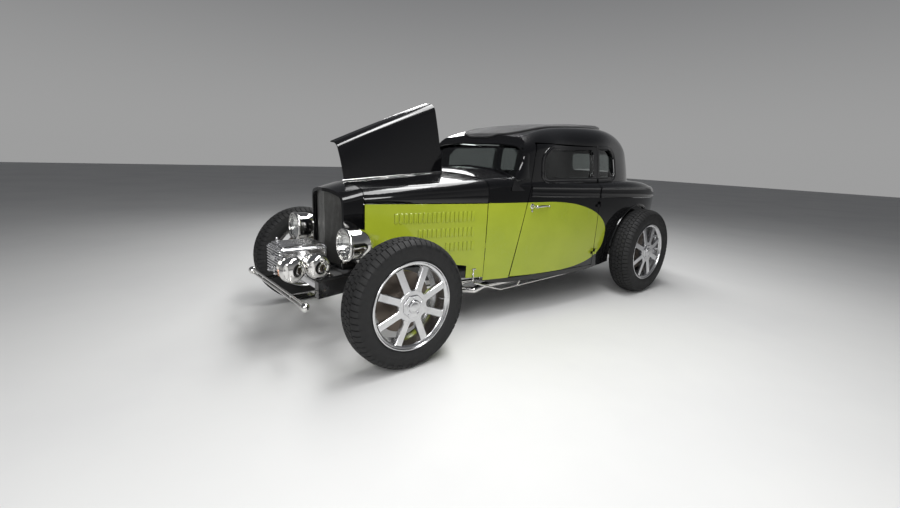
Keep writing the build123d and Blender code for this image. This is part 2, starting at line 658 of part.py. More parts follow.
# Glass follows the outer skin a little way in
glass_cab = skin(cab_sections, inset=glass_inset, sink=-60) - skin(cab_sections, inset=glass_inset + glass_t, sink=-60)
door_glass = glass_cab & side_prism(door_window, 400, 760, corner=40)
parts["door_glass_l"] = door_glass
parts["door_glass_r"] = mirrored(door_glass)
rear_glass = glass_cab & rear_cutter & block((0, 900), (2700, 3100), (900, 1500))
fixed_glass = (glass_cab & quarter_cutter) + (glass_cab & mirrored(quarter_cutter)) + rear_glass + mirrored(rear_glass)
screen_slab = (Pos(0, 30, 0) * ahead_of_screen) - (Pos(0, 30 - glass_t, 0) * ahead_of_screen)
fixed_glass += screen_slab & screen_cutter & skin(cab_sections, inset=4, sink=-60)
parts["fixed_glass"] = fixed_glass

# Fabric roof insert, nearly flush at the front and proud of the roof at the rear
insert_front_y = 1290
insert_roll_y = 2640
insert_rear_y = 2705
insert_front_t = 4
insert_tilt = 1.4
insert_roll_t = 44
roof_insert_outline = [
    (-375, insert_front_y), (375, insert_front_y), (385, 2000), (360, insert_rear_y), (-360, insert_rear_y), (-385, 2000),
]
insert_cutter = top_prism(roof_insert_outline, 1400, 1900, corner=50)
roof_seat = Pos(0, 0, seat_gap) * cab_outer
tilt_axis = Axis((0, insert_front_y, 1460), (1, 0, 0))
raised = (Pos(0, 0, insert_front_t) * cab_outer.rotate(tilt_axis, insert_tilt)) & insert_cutter
raised += (Pos(0, 0, insert_roll_t) * cab_outer) & insert_cutter & block((-400, 400), (insert_roll_y, insert_rear_y), (1400, 1900))
parts["roof_insert"] = raised - roof_seat

# Inside: bench seat, dashboard, steering column and wheel
seat_base = fillet(block((-540, 540), (1740, 2210), (floor_z + floor_t + seat_gap, 690)).edges(), 30)
seat_back_outline = [(2100, 690 + seat_gap), (2160, 1080), (2250, 1080), (2320, 690 + seat_gap)]
seat_back = front_prism([(-540, 600), (540, 600), (520, 1075), (-520, 1075)], 2000, 2400) & side_prism(seat_back_outline, -600, 600)
parts["seat"] = seat_base + seat_back
dash_outline = [(1215, 1000), (1200, 1062), (1240, 1095), (1300, 1060), (1290, 917), (1265, 917)]
dashboard = side_prism(dash_outline, -545, 545) & tub_inner
column_x = 300
wheel_centre = (column_x, 1530, 985)
column_foot = (column_x, tub_sections[0][0] + firewall_t + 7, 770)
column_dir = (Vector(*wheel_centre) - Vector(*column_foot)).normalized()
column_top = Vector(*wheel_centre) - column_dir * 30
parts["steering_column"] = rod(column_foot, tuple(column_top), 22)
parts["dashboard"] = dashboard - rod(column_foot, tuple(column_top), 22 + seat_gap)
steering = Torus(190, 13) + Cylinder(34, 24)
for angle in (90, 210, 330):
    steering += Rot(0, 0, angle) * (Pos(100, 0, 0) * Box(180, 26, 8))
steering += Pos(0, 0, -20) * Cylinder(14, 20 - 2 * seat_gap)
parts["steering_wheel"] = Plane(origin=wheel_centre, z_dir=column_dir) * steering

# Head lamps on their brackets
lamp_x = 412
lamp_y = -214
lamp_z = 704
lamp_r = 105
lamp_length = 196
lamp_tip_r = 22
lens_dome = 12
lamp_profile = make_face([
    ThreePointArc((0, lens_dome), (0.6 * lamp_r, 0.7 * lens_dome), (lamp_r - 6, 0)),
    Line((lamp_r - 6, 0), (lamp_r, -3)),
    Line((lamp_r, -3), (lamp_r, -20)),
    ThreePointArc((lamp_r, -20), (0.84 * lamp_r, -0.53 * lamp_length), (lamp_tip_r, -lamp_length)),
    Line((lamp_tip_r, -lamp_length), (0, -lamp_length)),
    Line((0, -lamp_length), (0, lens_dome)),
])
lamp_shape = revolve(Plane.XZ * lamp_profile, Axis.Z, 360)
lamps = None
for side in (1, -1):
    x = side * lamp_x
    bowl = Pos(x, lamp_y, lamp_z) * (Rot(90, 0, 0) * lamp_shape)
    foot_top = 509
    stalk = rod((x, lamp_y + 90, lamp_z - 30), (side * 290, -10, foot_top + 4), 13)
    foot = block((side * 276, side * 306), (-26, 6), (shell_low_z, foot_top + 8))
    lamp = bowl + stalk + foot
    lamps = lamp if lamps is None else lamps + lamp
parts["headlamps"] = lamps

# Front-mounted blower between the rails with two intakes on its left side
rail_inner_x = rail_plan[0][1] - rail_w / 2 - seat_gap
blower = fillet(block((-130, 130), (-500, -196), (470, 655)).edges(), 24)
for i in range(9):
    blower += block((-128 + 32 * i - 6, -128 + 32 * i + 6), (-496, -204), (640, 668))
for i in range(7):
    z = 490 + 24 * i
    blower += block((-110, 110), (-512, -490), (z - 5, z + 5))
blower += block((-rail_inner_x, rail_inner_x), (-330, -300), (400, 450))
blower += block((-100, 100), (-330, -300), (440, 480))
parts["blower"] = blower
intakes = None
for y in (-478, -312):
    horn = Pos(130 + seat_gap, y, 545) * (Rot(0, 90, 0) * Cone(52, 80, 110, align=(Align.CENTER, Align.CENTER, Align.MIN)))
    bell = Pos(240, y, 545) * (Rot(0, 90, 0) * Cylinder(82, 30, align=(Align.CENTER, Align.CENTER, Align.MIN)))
    bell -= Pos(252, y, 545) * (Rot(0, 90, 0) * Cylinder(66, 30, align=(Align.CENTER, Align.CENTER, Align.MIN)))
    piece = horn + bell
    intakes = piece if intakes is None else intakes + piece
parts["intakes"] = intakes

# Front bumper: two thin tubes with a ball at each end, held by the rail ends
ball_r = 28
bumper_tube_r = 8
bar_y = front_end_y + ball_r
bumper = None
for z in (366, 394):
    tube = rod((-500, bar_y, z), (500, bar_y, z), bumper_tube_r)
    bumper = tube if bumper is None else bumper + tube
for side in (1, -1):
    bumper += Pos(side * 500, bar_y, 380) * Sphere(ball_r)
    bumper += block((side * 262 - 10, side * 262 + 10), (bar_y, -330 - seat_gap), (368, 392))
parts["bumper_tubes"] = bumper

# Exhaust: a pipe under each side of the body
exhaust_r = 26
pipe_x = 470
pipe_z = 275
pipes = None
for side in (1, -1):
    bends = [
        (200 + seat_gap, 520, 600), (262, 520, 600), (262, 580, 300), (262, 680, 252),
        (pipe_x, 860, 252), (pipe_x, 960, pipe_z), (pipe_x, 2250, pipe_z),
    ]
    pipe = None
    for a, b in zip(bends, bends[1:]):
        start = (side * a[0], a[1], a[2])
        run = rod(start, (side * b[0], b[1], b[2]), exhaust_r)
        pipe = run if pipe is None else pipe + run + Pos(*start) * Sphere(exhaust_r)
    for hanger_y in (1150, 2220):
        pipe += block((side * 415, side * pipe_x), (hanger_y - 12, hanger_y + 12), (pipe_z, pipe_z + 18))
        pipe += block((side * 400, side * 416), (hanger_y - 12, hanger_y + 12), (pipe_z, 325 - seat_gap))
    pipes = pipe if pipes is None else pipes + pipe
parts["exhaust"] = pipes

# Tail lamps and number plate bracket
tail_lamps = None
for side in (1, -1):
    lamp = rod((side * 300, tail_y - 30, 700), (side * 300, rear_end_y, 700), 42)
    tail_lamps = lamp if tail_lamps is None else tail_lamps + lamp
parts["tail_lamps"] = tail_lamps - tub_outer
plate = block((-150, 150), (tail_y + seat_gap, tail_y + 5), (610, 730))
for side in (1, -1):
    x = side * plate_hole_spacing / 2
    plate -= rod((x, tail_y - 10, 715), (x, tail_y + 20, 715), plate_hole_r)
parts["plate_bracket"] = plate

# Door handles
handle_y = (1290, 1420)
handle = rod((600, handle_y[0], 905), (690, handle_y[0], 905), 9) + rod((676, handle_y[0], 905), (694, handle_y[1], 905), 8)
parts["door_handle_l"] = handle - tub_outer
parts["door_handle_r"] = mirrored(parts["door_handle_l"])

for name, shape in parts.items():
    export_step(Pos(0, front_axle_y, 0) * shape, f"parts/{name}.step")
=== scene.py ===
# Fenderless five-window coupe: paint, plating, rubber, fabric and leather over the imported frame
import math
import random

import bmesh
import bpy
from mathutils import Matrix, Vector
from mathutils.bvhtree import BVHTree


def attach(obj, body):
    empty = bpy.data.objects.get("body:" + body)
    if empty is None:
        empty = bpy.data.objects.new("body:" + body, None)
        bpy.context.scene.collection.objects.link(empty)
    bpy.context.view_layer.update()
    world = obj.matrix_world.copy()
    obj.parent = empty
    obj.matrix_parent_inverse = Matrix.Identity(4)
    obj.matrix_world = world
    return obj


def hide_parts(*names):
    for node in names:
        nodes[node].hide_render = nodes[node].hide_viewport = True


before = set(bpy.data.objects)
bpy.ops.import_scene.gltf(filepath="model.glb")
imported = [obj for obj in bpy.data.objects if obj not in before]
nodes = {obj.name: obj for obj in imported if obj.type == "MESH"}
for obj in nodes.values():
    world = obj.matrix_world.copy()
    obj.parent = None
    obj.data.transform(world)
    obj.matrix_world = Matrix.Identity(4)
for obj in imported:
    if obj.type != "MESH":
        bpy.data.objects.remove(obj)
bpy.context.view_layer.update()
random.seed(32)

# where the axles are, in metres
car = {
    "frontAxleY": -1.597,
    "rearAxleY": 1.248,
    "frontTyreR": 0.400,
    "rearTyreR": 0.414,
    "frontFaceX": 0.888,
    "rearFaceX": 0.856,
    "frontTyreW": 0.188,
    "rearTyreW": 0.206,
    "rimR": 0.274,
}


def atY(y):
    # the car is measured back from its front axle
    return y + car["frontAxleY"]


# nodes for materials

def newMaterial(name):
    material = bpy.data.materials.new(name)
    material.use_nodes = True
    tree = material.node_tree
    tree.nodes.clear()
    output = tree.nodes.new("ShaderNodeOutputMaterial")
    shader = tree.nodes.new("ShaderNodeBsdfPrincipled")
    tree.links.new(shader.outputs["BSDF"], output.inputs["Surface"])
    return material, tree, shader


def wire(tree, source, target):
    tree.links.new(source, target)


def feed(tree, value, socket):
    # a socket is wired, a number or colour is written
    if hasattr(value, "is_output"):
        tree.links.new(value, socket)
    else:
        socket.default_value = value


def sumNode(tree, operation, a, b=0.0, c=None):
    node = tree.nodes.new("ShaderNodeMath")
    node.operation = operation
    feed(tree, a, node.inputs[0])
    feed(tree, b, node.inputs[1])
    if c is not None:
        feed(tree, c, node.inputs[2])
    return node.outputs[0]


def rampNode(tree, value, low, high, outLow=0.0, outHigh=1.0):
    node = tree.nodes.new("ShaderNodeMapRange")
    node.interpolation_type = "SMOOTHSTEP"
    feed(tree, value, node.inputs["Value"])
    feed(tree, low, node.inputs["From Min"])
    feed(tree, high, node.inputs["From Max"])
    feed(tree, outLow, node.inputs["To Min"])
    feed(tree, outHigh, node.inputs["To Max"])
    return node.outputs["Result"]


def mixColour(tree, mask, first, second):
    node = tree.nodes.new("ShaderNodeMix")
    node.data_type = "RGBA"
    feed(tree, mask, node.inputs["Factor"])
    feed(tree, first, node.inputs["A"])
    feed(tree, second, node.inputs["B"])
    return node.outputs["Result"]


def noiseNode(tree, vector, scale, detail=3.0, roughness=0.5):
    node = tree.nodes.new("ShaderNodeTexNoise")
    wire(tree, vector, node.inputs["Vector"])
    feed(tree, scale, node.inputs["Scale"])
    node.inputs["Detail"].default_value = detail
    node.inputs["Roughness"].default_value = roughness
    return node.outputs["Fac"]


def bumpNode(tree, height, strength, distance):
    node = tree.nodes.new("ShaderNodeBump")
    wire(tree, height, node.inputs["Height"])
    node.inputs["Strength"].default_value = strength
    node.inputs["Distance"].default_value = distance
    return node.outputs["Normal"]


def newGroup(name, inputs, outputs):
    # inputs: (name, kind, value), outputs: (name, kind)
    group = bpy.data.node_groups.new(name, "ShaderNodeTree")
    for label, kind, value in inputs:
        socket = group.interface.new_socket(label, in_out="INPUT", socket_type=kind)
        socket.default_value = value
    for label, kind in outputs:
        group.interface.new_socket(label, in_out="OUTPUT", socket_type=kind)
    into = group.nodes.new("NodeGroupInput")
    out = group.nodes.new("NodeGroupOutput")
    return group, into, out


def useGroup(tree, group, **values):
    node = tree.nodes.new("ShaderNodeGroup")
    node.node_tree = group
    for label, value in values.items():
        feed(tree, value, node.inputs[label])
    return node


# shared effects

def makeSurfaceWear():
    # fine haze and faint scuffs: a roughness and a small colour mask
    number = "NodeSocketFloat"
    group, into, out = newGroup("surfaceWear", [
        ("Scale", number, 6.0), ("Rough", number, 0.1), ("Spread", number, 0.05),
    ], [("Roughness", number), ("Mask", number), ("Height", number)])
    place = group.nodes.new("ShaderNodeTexCoord")
    vector = place.outputs["Object"]
    broad = noiseNode(group, vector, into.outputs["Scale"], 4.0, 0.6)
    fineScale = sumNode(group, "MULTIPLY", into.outputs["Scale"], 14.0)
    fine = noiseNode(group, vector, fineScale, 3.0, 0.5)
    mask = rampNode(group, broad, 0.35, 0.75)
    swing = sumNode(group, "MULTIPLY", mask, into.outputs["Spread"])
    small = sumNode(group, "MULTIPLY", fine, into.outputs["Spread"])
    rough = sumNode(group, "ADD", into.outputs["Rough"], swing)
    rough = sumNode(group, "MULTIPLY_ADD", small, 0.5, rough)
    wire(group, rough, out.inputs["Roughness"])
    wire(group, mask, out.inputs["Mask"])
    wire(group, fine, out.inputs["Height"])
    return group


def makeRoundTurning():
    # fine rings about a wheel's own axle, as a lathe leaves them
    number = "NodeSocketFloat"
    group, into, out = newGroup("latheRings", [
        ("Axle Y", number, 0.0), ("Axle Z", number, 0.4), ("Rings", number, 900.0),
    ], [("Ring", number), ("Radius", number)])
    place = group.nodes.new("ShaderNodeTexCoord")
    split = group.nodes.new("ShaderNodeSeparateXYZ")
    wire(group, place.outputs["Object"], split.inputs[0])
    dy = sumNode(group, "SUBTRACT", split.outputs["Y"], into.outputs["Axle Y"])
    dz = sumNode(group, "SUBTRACT", split.outputs["Z"], into.outputs["Axle Z"])
    dy2 = sumNode(group, "MULTIPLY", dy, dy)
    reach = sumNode(group, "SQRT", sumNode(group, "MULTIPLY_ADD", dz, dz, dy2))
    wave = sumNode(group, "SINE", sumNode(group, "MULTIPLY", reach, into.outputs["Rings"]))
    wire(group, sumNode(group, "MULTIPLY_ADD", wave, 0.5, 0.5), out.inputs["Ring"])
    wire(group, reach, out.inputs["Radius"])
    return group


def makeClothGrain():
    # crossed threads for cloth, pores for leather when the threads are turned down
    number = "NodeSocketFloat"
    group, into, out = newGroup("clothGrain", [
        ("Threads", number, 900.0), ("Thread Share", number, 1.0), ("Pores", number, 260.0),
    ], [("Height", number), ("Shade", number)])
    place = group.nodes.new("ShaderNodeTexCoord")
    split = group.nodes.new("ShaderNodeSeparateXYZ")
    wire(group, place.outputs["Object"], split.inputs[0])
    across = sumNode(group, "SINE", sumNode(group, "MULTIPLY", split.outputs["X"], into.outputs["Threads"]))
    along = sumNode(group, "SINE", sumNode(group, "MULTIPLY", split.outputs["Y"], into.outputs["Threads"]))
    weave = sumNode(group, "MULTIPLY_ADD", sumNode(group, "MULTIPLY", across, along), 0.5, 0.5)
    cells = group.nodes.new("ShaderNodeTexVoronoi")
    wire(group, place.outputs["Object"], cells.inputs["Vector"])
    wire(group, into.outputs["Pores"], cells.inputs["Scale"])
    pores = rampNode(group, cells.outputs["Distance"], 0.0, 0.6)
    share = into.outputs["Thread Share"]
    height = sumNode(group, "MULTIPLY", weave, share)
    rest = sumNode(group, "SUBTRACT", 1.0, share)
    height = sumNode(group, "MULTIPLY_ADD", pores, rest, height)
    cloud = noiseNode(group, place.outputs["Object"], 9.0, 4.0, 0.6)
    wire(group, height, out.inputs["Height"])
    wire(group, rampNode(group, cloud, 0.3, 0.7), out.inputs["Shade"])
    return group


sideColour = {
    "middleY": 1.450,      # where the green's rounded rear end begins, back from the front axle
    "reach": 0.832,
    "middleZ": 0.641,
    "half": 0.298,
    "upperPower": 2.0,
    "lowerPower": 2.85,
    "edge": 0.006,
    "frontY": 0.0,
    "faces": 0.25,         # how far a face has to look outwards
}


def makeSideColour():
    # mask of the green side panel: straight from the nose, then a long rounded end
    number = "NodeSocketFloat"
    s = sideColour
    group, into, out = newGroup("sideColour", [], [("Mask", number)])
    place = group.nodes.new("ShaderNodeTexCoord")
    split = group.nodes.new("ShaderNodeSeparateXYZ")
    wire(group, place.outputs["Object"], split.inputs[0])
    facing = group.nodes.new("ShaderNodeSeparateXYZ")
    wire(group, place.outputs["Normal"], facing.inputs[0])
    back = sumNode(group, "SUBTRACT", split.outputs["Y"], atY(s["middleY"]))
    u = sumNode(group, "MAXIMUM", sumNode(group, "DIVIDE", back, s["reach"]), 0.0)
    v = sumNode(group, "DIVIDE", sumNode(group, "SUBTRACT", split.outputs["Z"], s["middleZ"]), s["half"])
    above = sumNode(group, "GREATER_THAN", v, 0.0)
    power = rampNode(group, above, 0.0, 1.0, s["lowerPower"], s["upperPower"])
    size = sumNode(group, "ADD", sumNode(group, "POWER", u, power),
                   sumNode(group, "POWER", sumNode(group, "ABSOLUTE", v), power))
    inside = rampNode(group, size, 1.0 - s["edge"], 1.0 + s["edge"], 1.0, 0.0)
    side = sumNode(group, "SIGN", split.outputs["X"])
    outward = sumNode(group, "GREATER_THAN", sumNode(group, "MULTIPLY", side, facing.outputs["X"]),
                      s["faces"])
    ahead = sumNode(group, "GREATER_THAN", split.outputs["Y"], atY(s["frontY"]))
    mask = sumNode(group, "MULTIPLY", sumNode(group, "MULTIPLY", inside, outward), ahead)
    wire(group, mask, out.inputs["Mask"])
    return group


print("shared effects")
surfaceWear = makeSurfaceWear()
latheRings = makeRoundTurning()
clothGrain = makeClothGrain()
sideMask = makeSideColour()


# materials

paint = {
    "black": (0.0025, 0.0025, 0.0030, 1.0),
    "green": (0.345, 0.405, 0.028, 1.0),
    "greenShade": (0.300, 0.365, 0.022, 1.0),
    "rough": 0.22,
    "coatRough": 0.025,
    "under": 0.08,         # how much the colour coat itself shines
}


def makeCoupePaint(name, mask):
    # mask 1 is green all over, None takes the side panel's outline
    material, tree, shader = newMaterial(name)
    wear = useGroup(tree, surfaceWear, Scale=3.0, Rough=paint["rough"], Spread=0.05)
    if mask is None:
        mask = useGroup(tree, sideMask).outputs["Mask"]
    green = mixColour(tree, wear.outputs["Mask"], paint["green"], paint["greenShade"])
    wire(tree, mixColour(tree, mask, paint["black"], green), shader.inputs["Base Color"])
    wire(tree, wear.outputs["Roughness"], shader.inputs["Roughness"])
    shader.inputs["Coat Weight"].default_value = 1.0
    shader.inputs["Coat Roughness"].default_value = paint["coatRough"]
    shader.inputs["Specular IOR Level"].default_value = paint["under"]
    return material


def makePlainFinish(name, colour, second, rough, spread=0.06, metal=0.0, scale=8.0, bump=0.0, coat=0.0):
    # one worn finish: two close colours, uneven gloss and a little relief
    material, tree, shader = newMaterial(name)
    wear = useGroup(tree, surfaceWear, Scale=scale, Rough=rough, Spread=spread)
    wire(tree, mixColour(tree, wear.outputs["Mask"], colour, second), shader.inputs["Base Color"])
    wire(tree, wear.outputs["Roughness"], shader.inputs["Roughness"])
    shader.inputs["Metallic"].default_value = metal
    shader.inputs["Coat Weight"].default_value = coat
    if bump:
        wire(tree, bumpNode(tree, wear.outputs["Height"], 0.5, bump), shader.inputs["Normal"])
    return material


def makeTurnedMetal(name, axleY, axleZ, colour, second, rough, rings=1400.0, relief=0.00008):
    material, tree, shader = newMaterial(name)
    turned = useGroup(tree, latheRings, **{"Axle Y": axleY, "Axle Z": axleZ, "Rings": rings})
    wear = useGroup(tree, surfaceWear, Scale=9.0, Rough=rough, Spread=0.07)
    wire(tree, mixColour(tree, turned.outputs["Ring"], colour, second), shader.inputs["Base Color"])
    wire(tree, wear.outputs["Roughness"], shader.inputs["Roughness"])
    shader.inputs["Metallic"].default_value = 1.0
    wire(tree, bumpNode(tree, turned.outputs["Ring"], 0.4, relief), shader.inputs["Normal"])
    return material


def makeRubber(name, axleY, axleZ):
    material, tree, shader = newMaterial(name)
    wear = useGroup(tree, surfaceWear, Scale=16.0, Rough=0.62, Spread=0.2)
    turned = useGroup(tree, latheRings, **{"Axle Y": axleY, "Axle Z": axleZ, "Rings": 520.0})
    wire(tree, mixColour(tree, wear.outputs["Mask"], (0.006, 0.006, 0.0065, 1.0),
                         (0.012, 0.012, 0.012, 1.0)),
         shader.inputs["Base Color"])
    wire(tree, wear.outputs["Roughness"], shader.inputs["Roughness"])
    height = sumNode(tree, "MULTIPLY_ADD", turned.outputs["Ring"], 0.25, wear.outputs["Height"])
    wire(tree, bumpNode(tree, height, 0.35, 0.0006), shader.inputs["Normal"])
    return material


def makeCloth(name, colour, second, threads, share, relief, rough, sheen=0.0):
    material, tree, shader = newMaterial(name)
    grain = useGroup(tree, clothGrain, **{"Threads": threads, "Thread Share": share})
    wear = useGroup(tree, surfaceWear, Scale=10.0, Rough=rough, Spread=0.12)
    wire(tree, mixColour(tree, grain.outputs["Shade"], colour, second), shader.inputs["Base Color"])
    wire(tree, wear.outputs["Roughness"], shader.inputs["Roughness"])
    wire(tree, bumpNode(tree, grain.outputs["Height"], 0.6, relief), shader.inputs["Normal"])
    shader.inputs["Sheen Weight"].default_value = sheen
    return material


def makeGlass(name, colour, rough=0.01):
    material, tree, shader = newMaterial(name)
    wear = useGroup(tree, surfaceWear, Scale=5.0, Rough=rough, Spread=0.015)
    wire(tree, mixColour(tree, wear.outputs["Mask"], colour, tuple(0.97 * c for c in colour[:3]) + (1.0,)),
         shader.inputs["Base Color"])
    wire(tree, wear.outputs["Roughness"], shader.inputs["Roughness"])
    shader.inputs["Transmission Weight"].default_value = 1.0
    shader.inputs["IOR"].default_value = 1.45
    return material


print("materials")
coupePaint = makeCoupePaint("coupePaint", None)
louvrePaint = makeCoupePaint("louvrePaint", 1.0)
brightPlate = makePlainFinish("brightPlate", (0.80, 0.79, 0.77, 1), (0.74, 0.73, 0.71, 1), 0.035, 0.05,
                              1.0, 12.0)
polishedAlloy = makePlainFinish("polishedAlloy", (0.66, 0.66, 0.67, 1), (0.56, 0.56, 0.57, 1), 0.15, 0.10,
                                1.0, 14.0)
grilleSteel = makePlainFinish("grilleSteel", (0.40, 0.40, 0.39, 1), (0.32, 0.32, 0.31, 1), 0.34, 0.10,
                              1.0, 20.0)
# cast alloy, also used on the blower case body as painted shade between its polished ribs
castAlloyAndPaintedShade = makePlainFinish("castAlloyAndPaintedShade", (0.46, 0.46, 0.47, 1), (0.36, 0.36, 0.37, 1), 0.38, 0.15, 1.0,
                            30.0, 0.0004)
chassisBlack = makePlainFinish("chassisBlack", (0.006, 0.006, 0.007, 1), (0.012, 0.012, 0.012, 1), 0.24,
                               0.10, 0.0, 7.0, 0.0, 0.4)
engineBlack = makePlainFinish("engineBlack", (0.018, 0.018, 0.020, 1), (0.030, 0.030, 0.030, 1), 0.42,
                              0.15, 0.0, 25.0, 0.0004)
radiatorBlack = makePlainFinish("radiatorBlack", (0.008, 0.008, 0.008, 1), (0.016, 0.016, 0.016, 1), 0.55,
                                0.15, 0.0, 30.0, 0.0003)
roofCloth = makeCloth("roofCloth", (0.010, 0.010, 0.011, 1), (0.018, 0.018, 0.019, 1), 1500.0, 1.0,
                      0.0006, 0.80, 0.15)
seatHide = makeCloth("seatHide", (0.012, 0.011, 0.010, 1), (0.022, 0.020, 0.018, 1), 500.0, 0.0, 0.0004,
                     0.42)
windowGlass = makeGlass("windowGlass", (0.42, 0.45, 0.44, 1))
lensGlass = makeGlass("lensGlass", (0.96, 0.97, 0.97, 1))
redLens = makePlainFinish("redLens", (0.50, 0.010, 0.008, 1), (0.34, 0.006, 0.005, 1), 0.08, 0.06, 0.0,
                          40.0, 0.0, 0.8)
# dark plastic, also used as painted shade in the scoop mouths and the exhaust tips' bores
darkPlasticAndPaintedShade = makePlainFinish("darkPlasticAndPaintedShade", (0.012, 0.012, 0.012, 1), (0.020, 0.020, 0.020, 1), 0.30,
                              0.12, 0.0, 20.0)
copperPipe = makePlainFinish("copperPipe", (0.72, 0.34, 0.18, 1), (0.58, 0.25, 0.12, 1), 0.14, 0.10, 1.0,
                             22.0)
dialFace = makePlainFinish("dialFace", (0.62, 0.60, 0.54, 1), (0.52, 0.50, 0.45, 1), 0.40, 0.10, 0.0, 40.0)
floorPale = makePlainFinish("floorPale", (0.70, 0.70, 0.69, 1), (0.66, 0.66, 0.655, 1), 0.55, 0.10, 0.0,
                            0.6)
frontRubber = makeRubber("frontRubber", car["frontAxleY"], car["frontTyreR"])
rearRubber = makeRubber("rearRubber", car["rearAxleY"], car["rearTyreR"])
frontDisc = makeTurnedMetal("frontDisc", car["frontAxleY"], car["frontTyreR"], (0.15, 0.125, 0.105, 1),
                            (0.23, 0.195, 0.165, 1), 0.44)
rearDisc = makeTurnedMetal("rearDisc", car["rearAxleY"], car["rearTyreR"], (0.15, 0.125, 0.105, 1),
                           (0.23, 0.195, 0.165, 1), 0.44)

nodeFinish = {
    "front_axle": brightPlate, "tie_rod": brightPlate, "radius_rods": brightPlate,
    "hood_hinge": brightPlate,
    "steering_column": brightPlate, "bumper_tubes": brightPlate, "exhaust": brightPlate,
    "intakes": brightPlate,
    "door_handle_l": brightPlate, "door_handle_r": brightPlate, "grille": grilleSteel,
    "headlamps": brightPlate,
    "knuckle_l": chassisBlack, "knuckle_r": chassisBlack, "chassis_frame": chassisBlack,
    "front_spring": chassisBlack, "rear_axle": chassisBlack, "rear_suspension": chassisBlack,
    "engine": engineBlack, "gearbox": castAlloyAndPaintedShade, "radiator": radiatorBlack, "blower": polishedAlloy,
    "radiator_shell": coupePaint, "hood_l": coupePaint, "hood_r": coupePaint, "hood_sides": coupePaint,
    "cowl": coupePaint, "cab": coupePaint, "rear_body": coupePaint,
    "floor_pan": chassisBlack, "door_l": coupePaint, "door_r": coupePaint, "deck_lid": coupePaint,
    "dashboard": coupePaint, "door_glass_l": windowGlass, "door_glass_r": windowGlass,
    "fixed_glass": windowGlass, "roof_insert": roofCloth, "seat": seatHide, "steering_wheel": darkPlasticAndPaintedShade,
    "tail_lamps": redLens, "plate_bracket": chassisBlack,
    "brake_disc_fl": frontDisc, "brake_disc_fr": frontDisc, "brake_disc_rl": rearDisc,
    "brake_disc_rr": rearDisc,
    "wheel_fl": polishedAlloy, "wheel_fr": polishedAlloy, "wheel_rl": polishedAlloy,
    "wheel_rr": polishedAlloy,
    "tyre_fl": frontRubber, "tyre_fr": frontRubber, "tyre_rl": rearRubber, "tyre_rr": rearRubber,
}
for name, finish in nodeFinish.items():
    for holder in nodes[name].material_slots:
        holder.material = finish


# mesh helpers

def makeObject(name, mesh, finish, body, replaced=(), smooth=35.0):
    # one piece: mesh to object, finish, shading and body; the imported parts it replaces are hidden
    mesh.materials.clear()
    for one in finish if isinstance(finish, (list, tuple)) else [finish]:
        mesh.materials.append(one)
    piece = bpy.data.objects.new(name, mesh)
    bpy.context.scene.collection.objects.link(piece)
    if smooth:
        mesh.shade_smooth()
        mesh.set_sharp_from_angle(angle=math.radians(smooth))
    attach(piece, body)
    if replaced:
        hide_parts(*replaced)
    return piece


def fromBmesh(name, bm):
    bmesh.ops.remove_doubles(bm, verts=bm.verts, dist=0.00002)
    bmesh.ops.recalc_face_normals(bm, faces=bm.faces)
    mesh = bpy.data.meshes.new(name)
    bm.to_mesh(mesh)
    bm.free()
    return mesh


def turnedAt(place, degrees, axis):
    return Matrix.Translation(place) @ Matrix.Rotation(math.radians(degrees), 4, axis)


def moveFaces(bm, faces, matrix):
    bmesh.ops.transform(bm, matrix=matrix, verts=list({v for f in faces for v in f.verts}))


def ballAt(bm, place, radius, fine=2):
    made = bmesh.ops.create_icosphere(bm, subdivisions=fine, radius=radius)
    bmesh.ops.transform(bm, matrix=Matrix.Translation(place), verts=made["verts"])


def lathe(bm, profile, count, material=0, start=0.0, sweep=math.tau):
    # profile: (out from the axis, height) pairs turned about Z; a closed profile repeats its first point
    whole = abs(sweep - math.tau) < 1e-6
    rings = []
    for i in range(count if whole else count + 1):
        a = start + sweep * i / count
        rings.append([bm.verts.new((r * math.cos(a), r * math.sin(a), z)) for r, z in profile])
    made = []
    for i in range(count):
        near, far = rings[i], rings[(i + 1) % len(rings)]
        for j in range(len(profile) - 1):
            face = bm.faces.new((near[j], far[j], far[j + 1], near[j + 1]))
            face.material_index = material
            made.append(face)
    return made


def boxOf(bm, low, high, bevel=0.0, turn=None, material=0):
    # bevelled block between two corners, turned last
    made = bmesh.ops.create_cube(bm, size=1.0)
    verts = made["verts"]
    size = Vector([h - l for l, h in zip(low, high)])
    middle = Vector([(h + l) / 2 for l, h in zip(low, high)])
    for v in verts:
        v.co = Vector([v.co[k] * size[k] for k in range(3)]) + middle
    faces = set()
    for v in verts:
        faces.update(v.link_faces)
    if bevel:
        edges = set()
        for f in faces:
            edges.update(f.edges)
        cut = bmesh.ops.bevel(bm, geom=list(edges), offset=bevel, segments=2, affect="EDGES", profile=0.7)
        faces = set(cut["faces"]) | {f for f in faces if f.is_valid}
        verts = list({v for f in faces for v in f.verts})
    for f in faces:
        f.material_index = material
    if turn is not None:
        bmesh.ops.transform(bm, matrix=turn, verts=verts)
    return verts


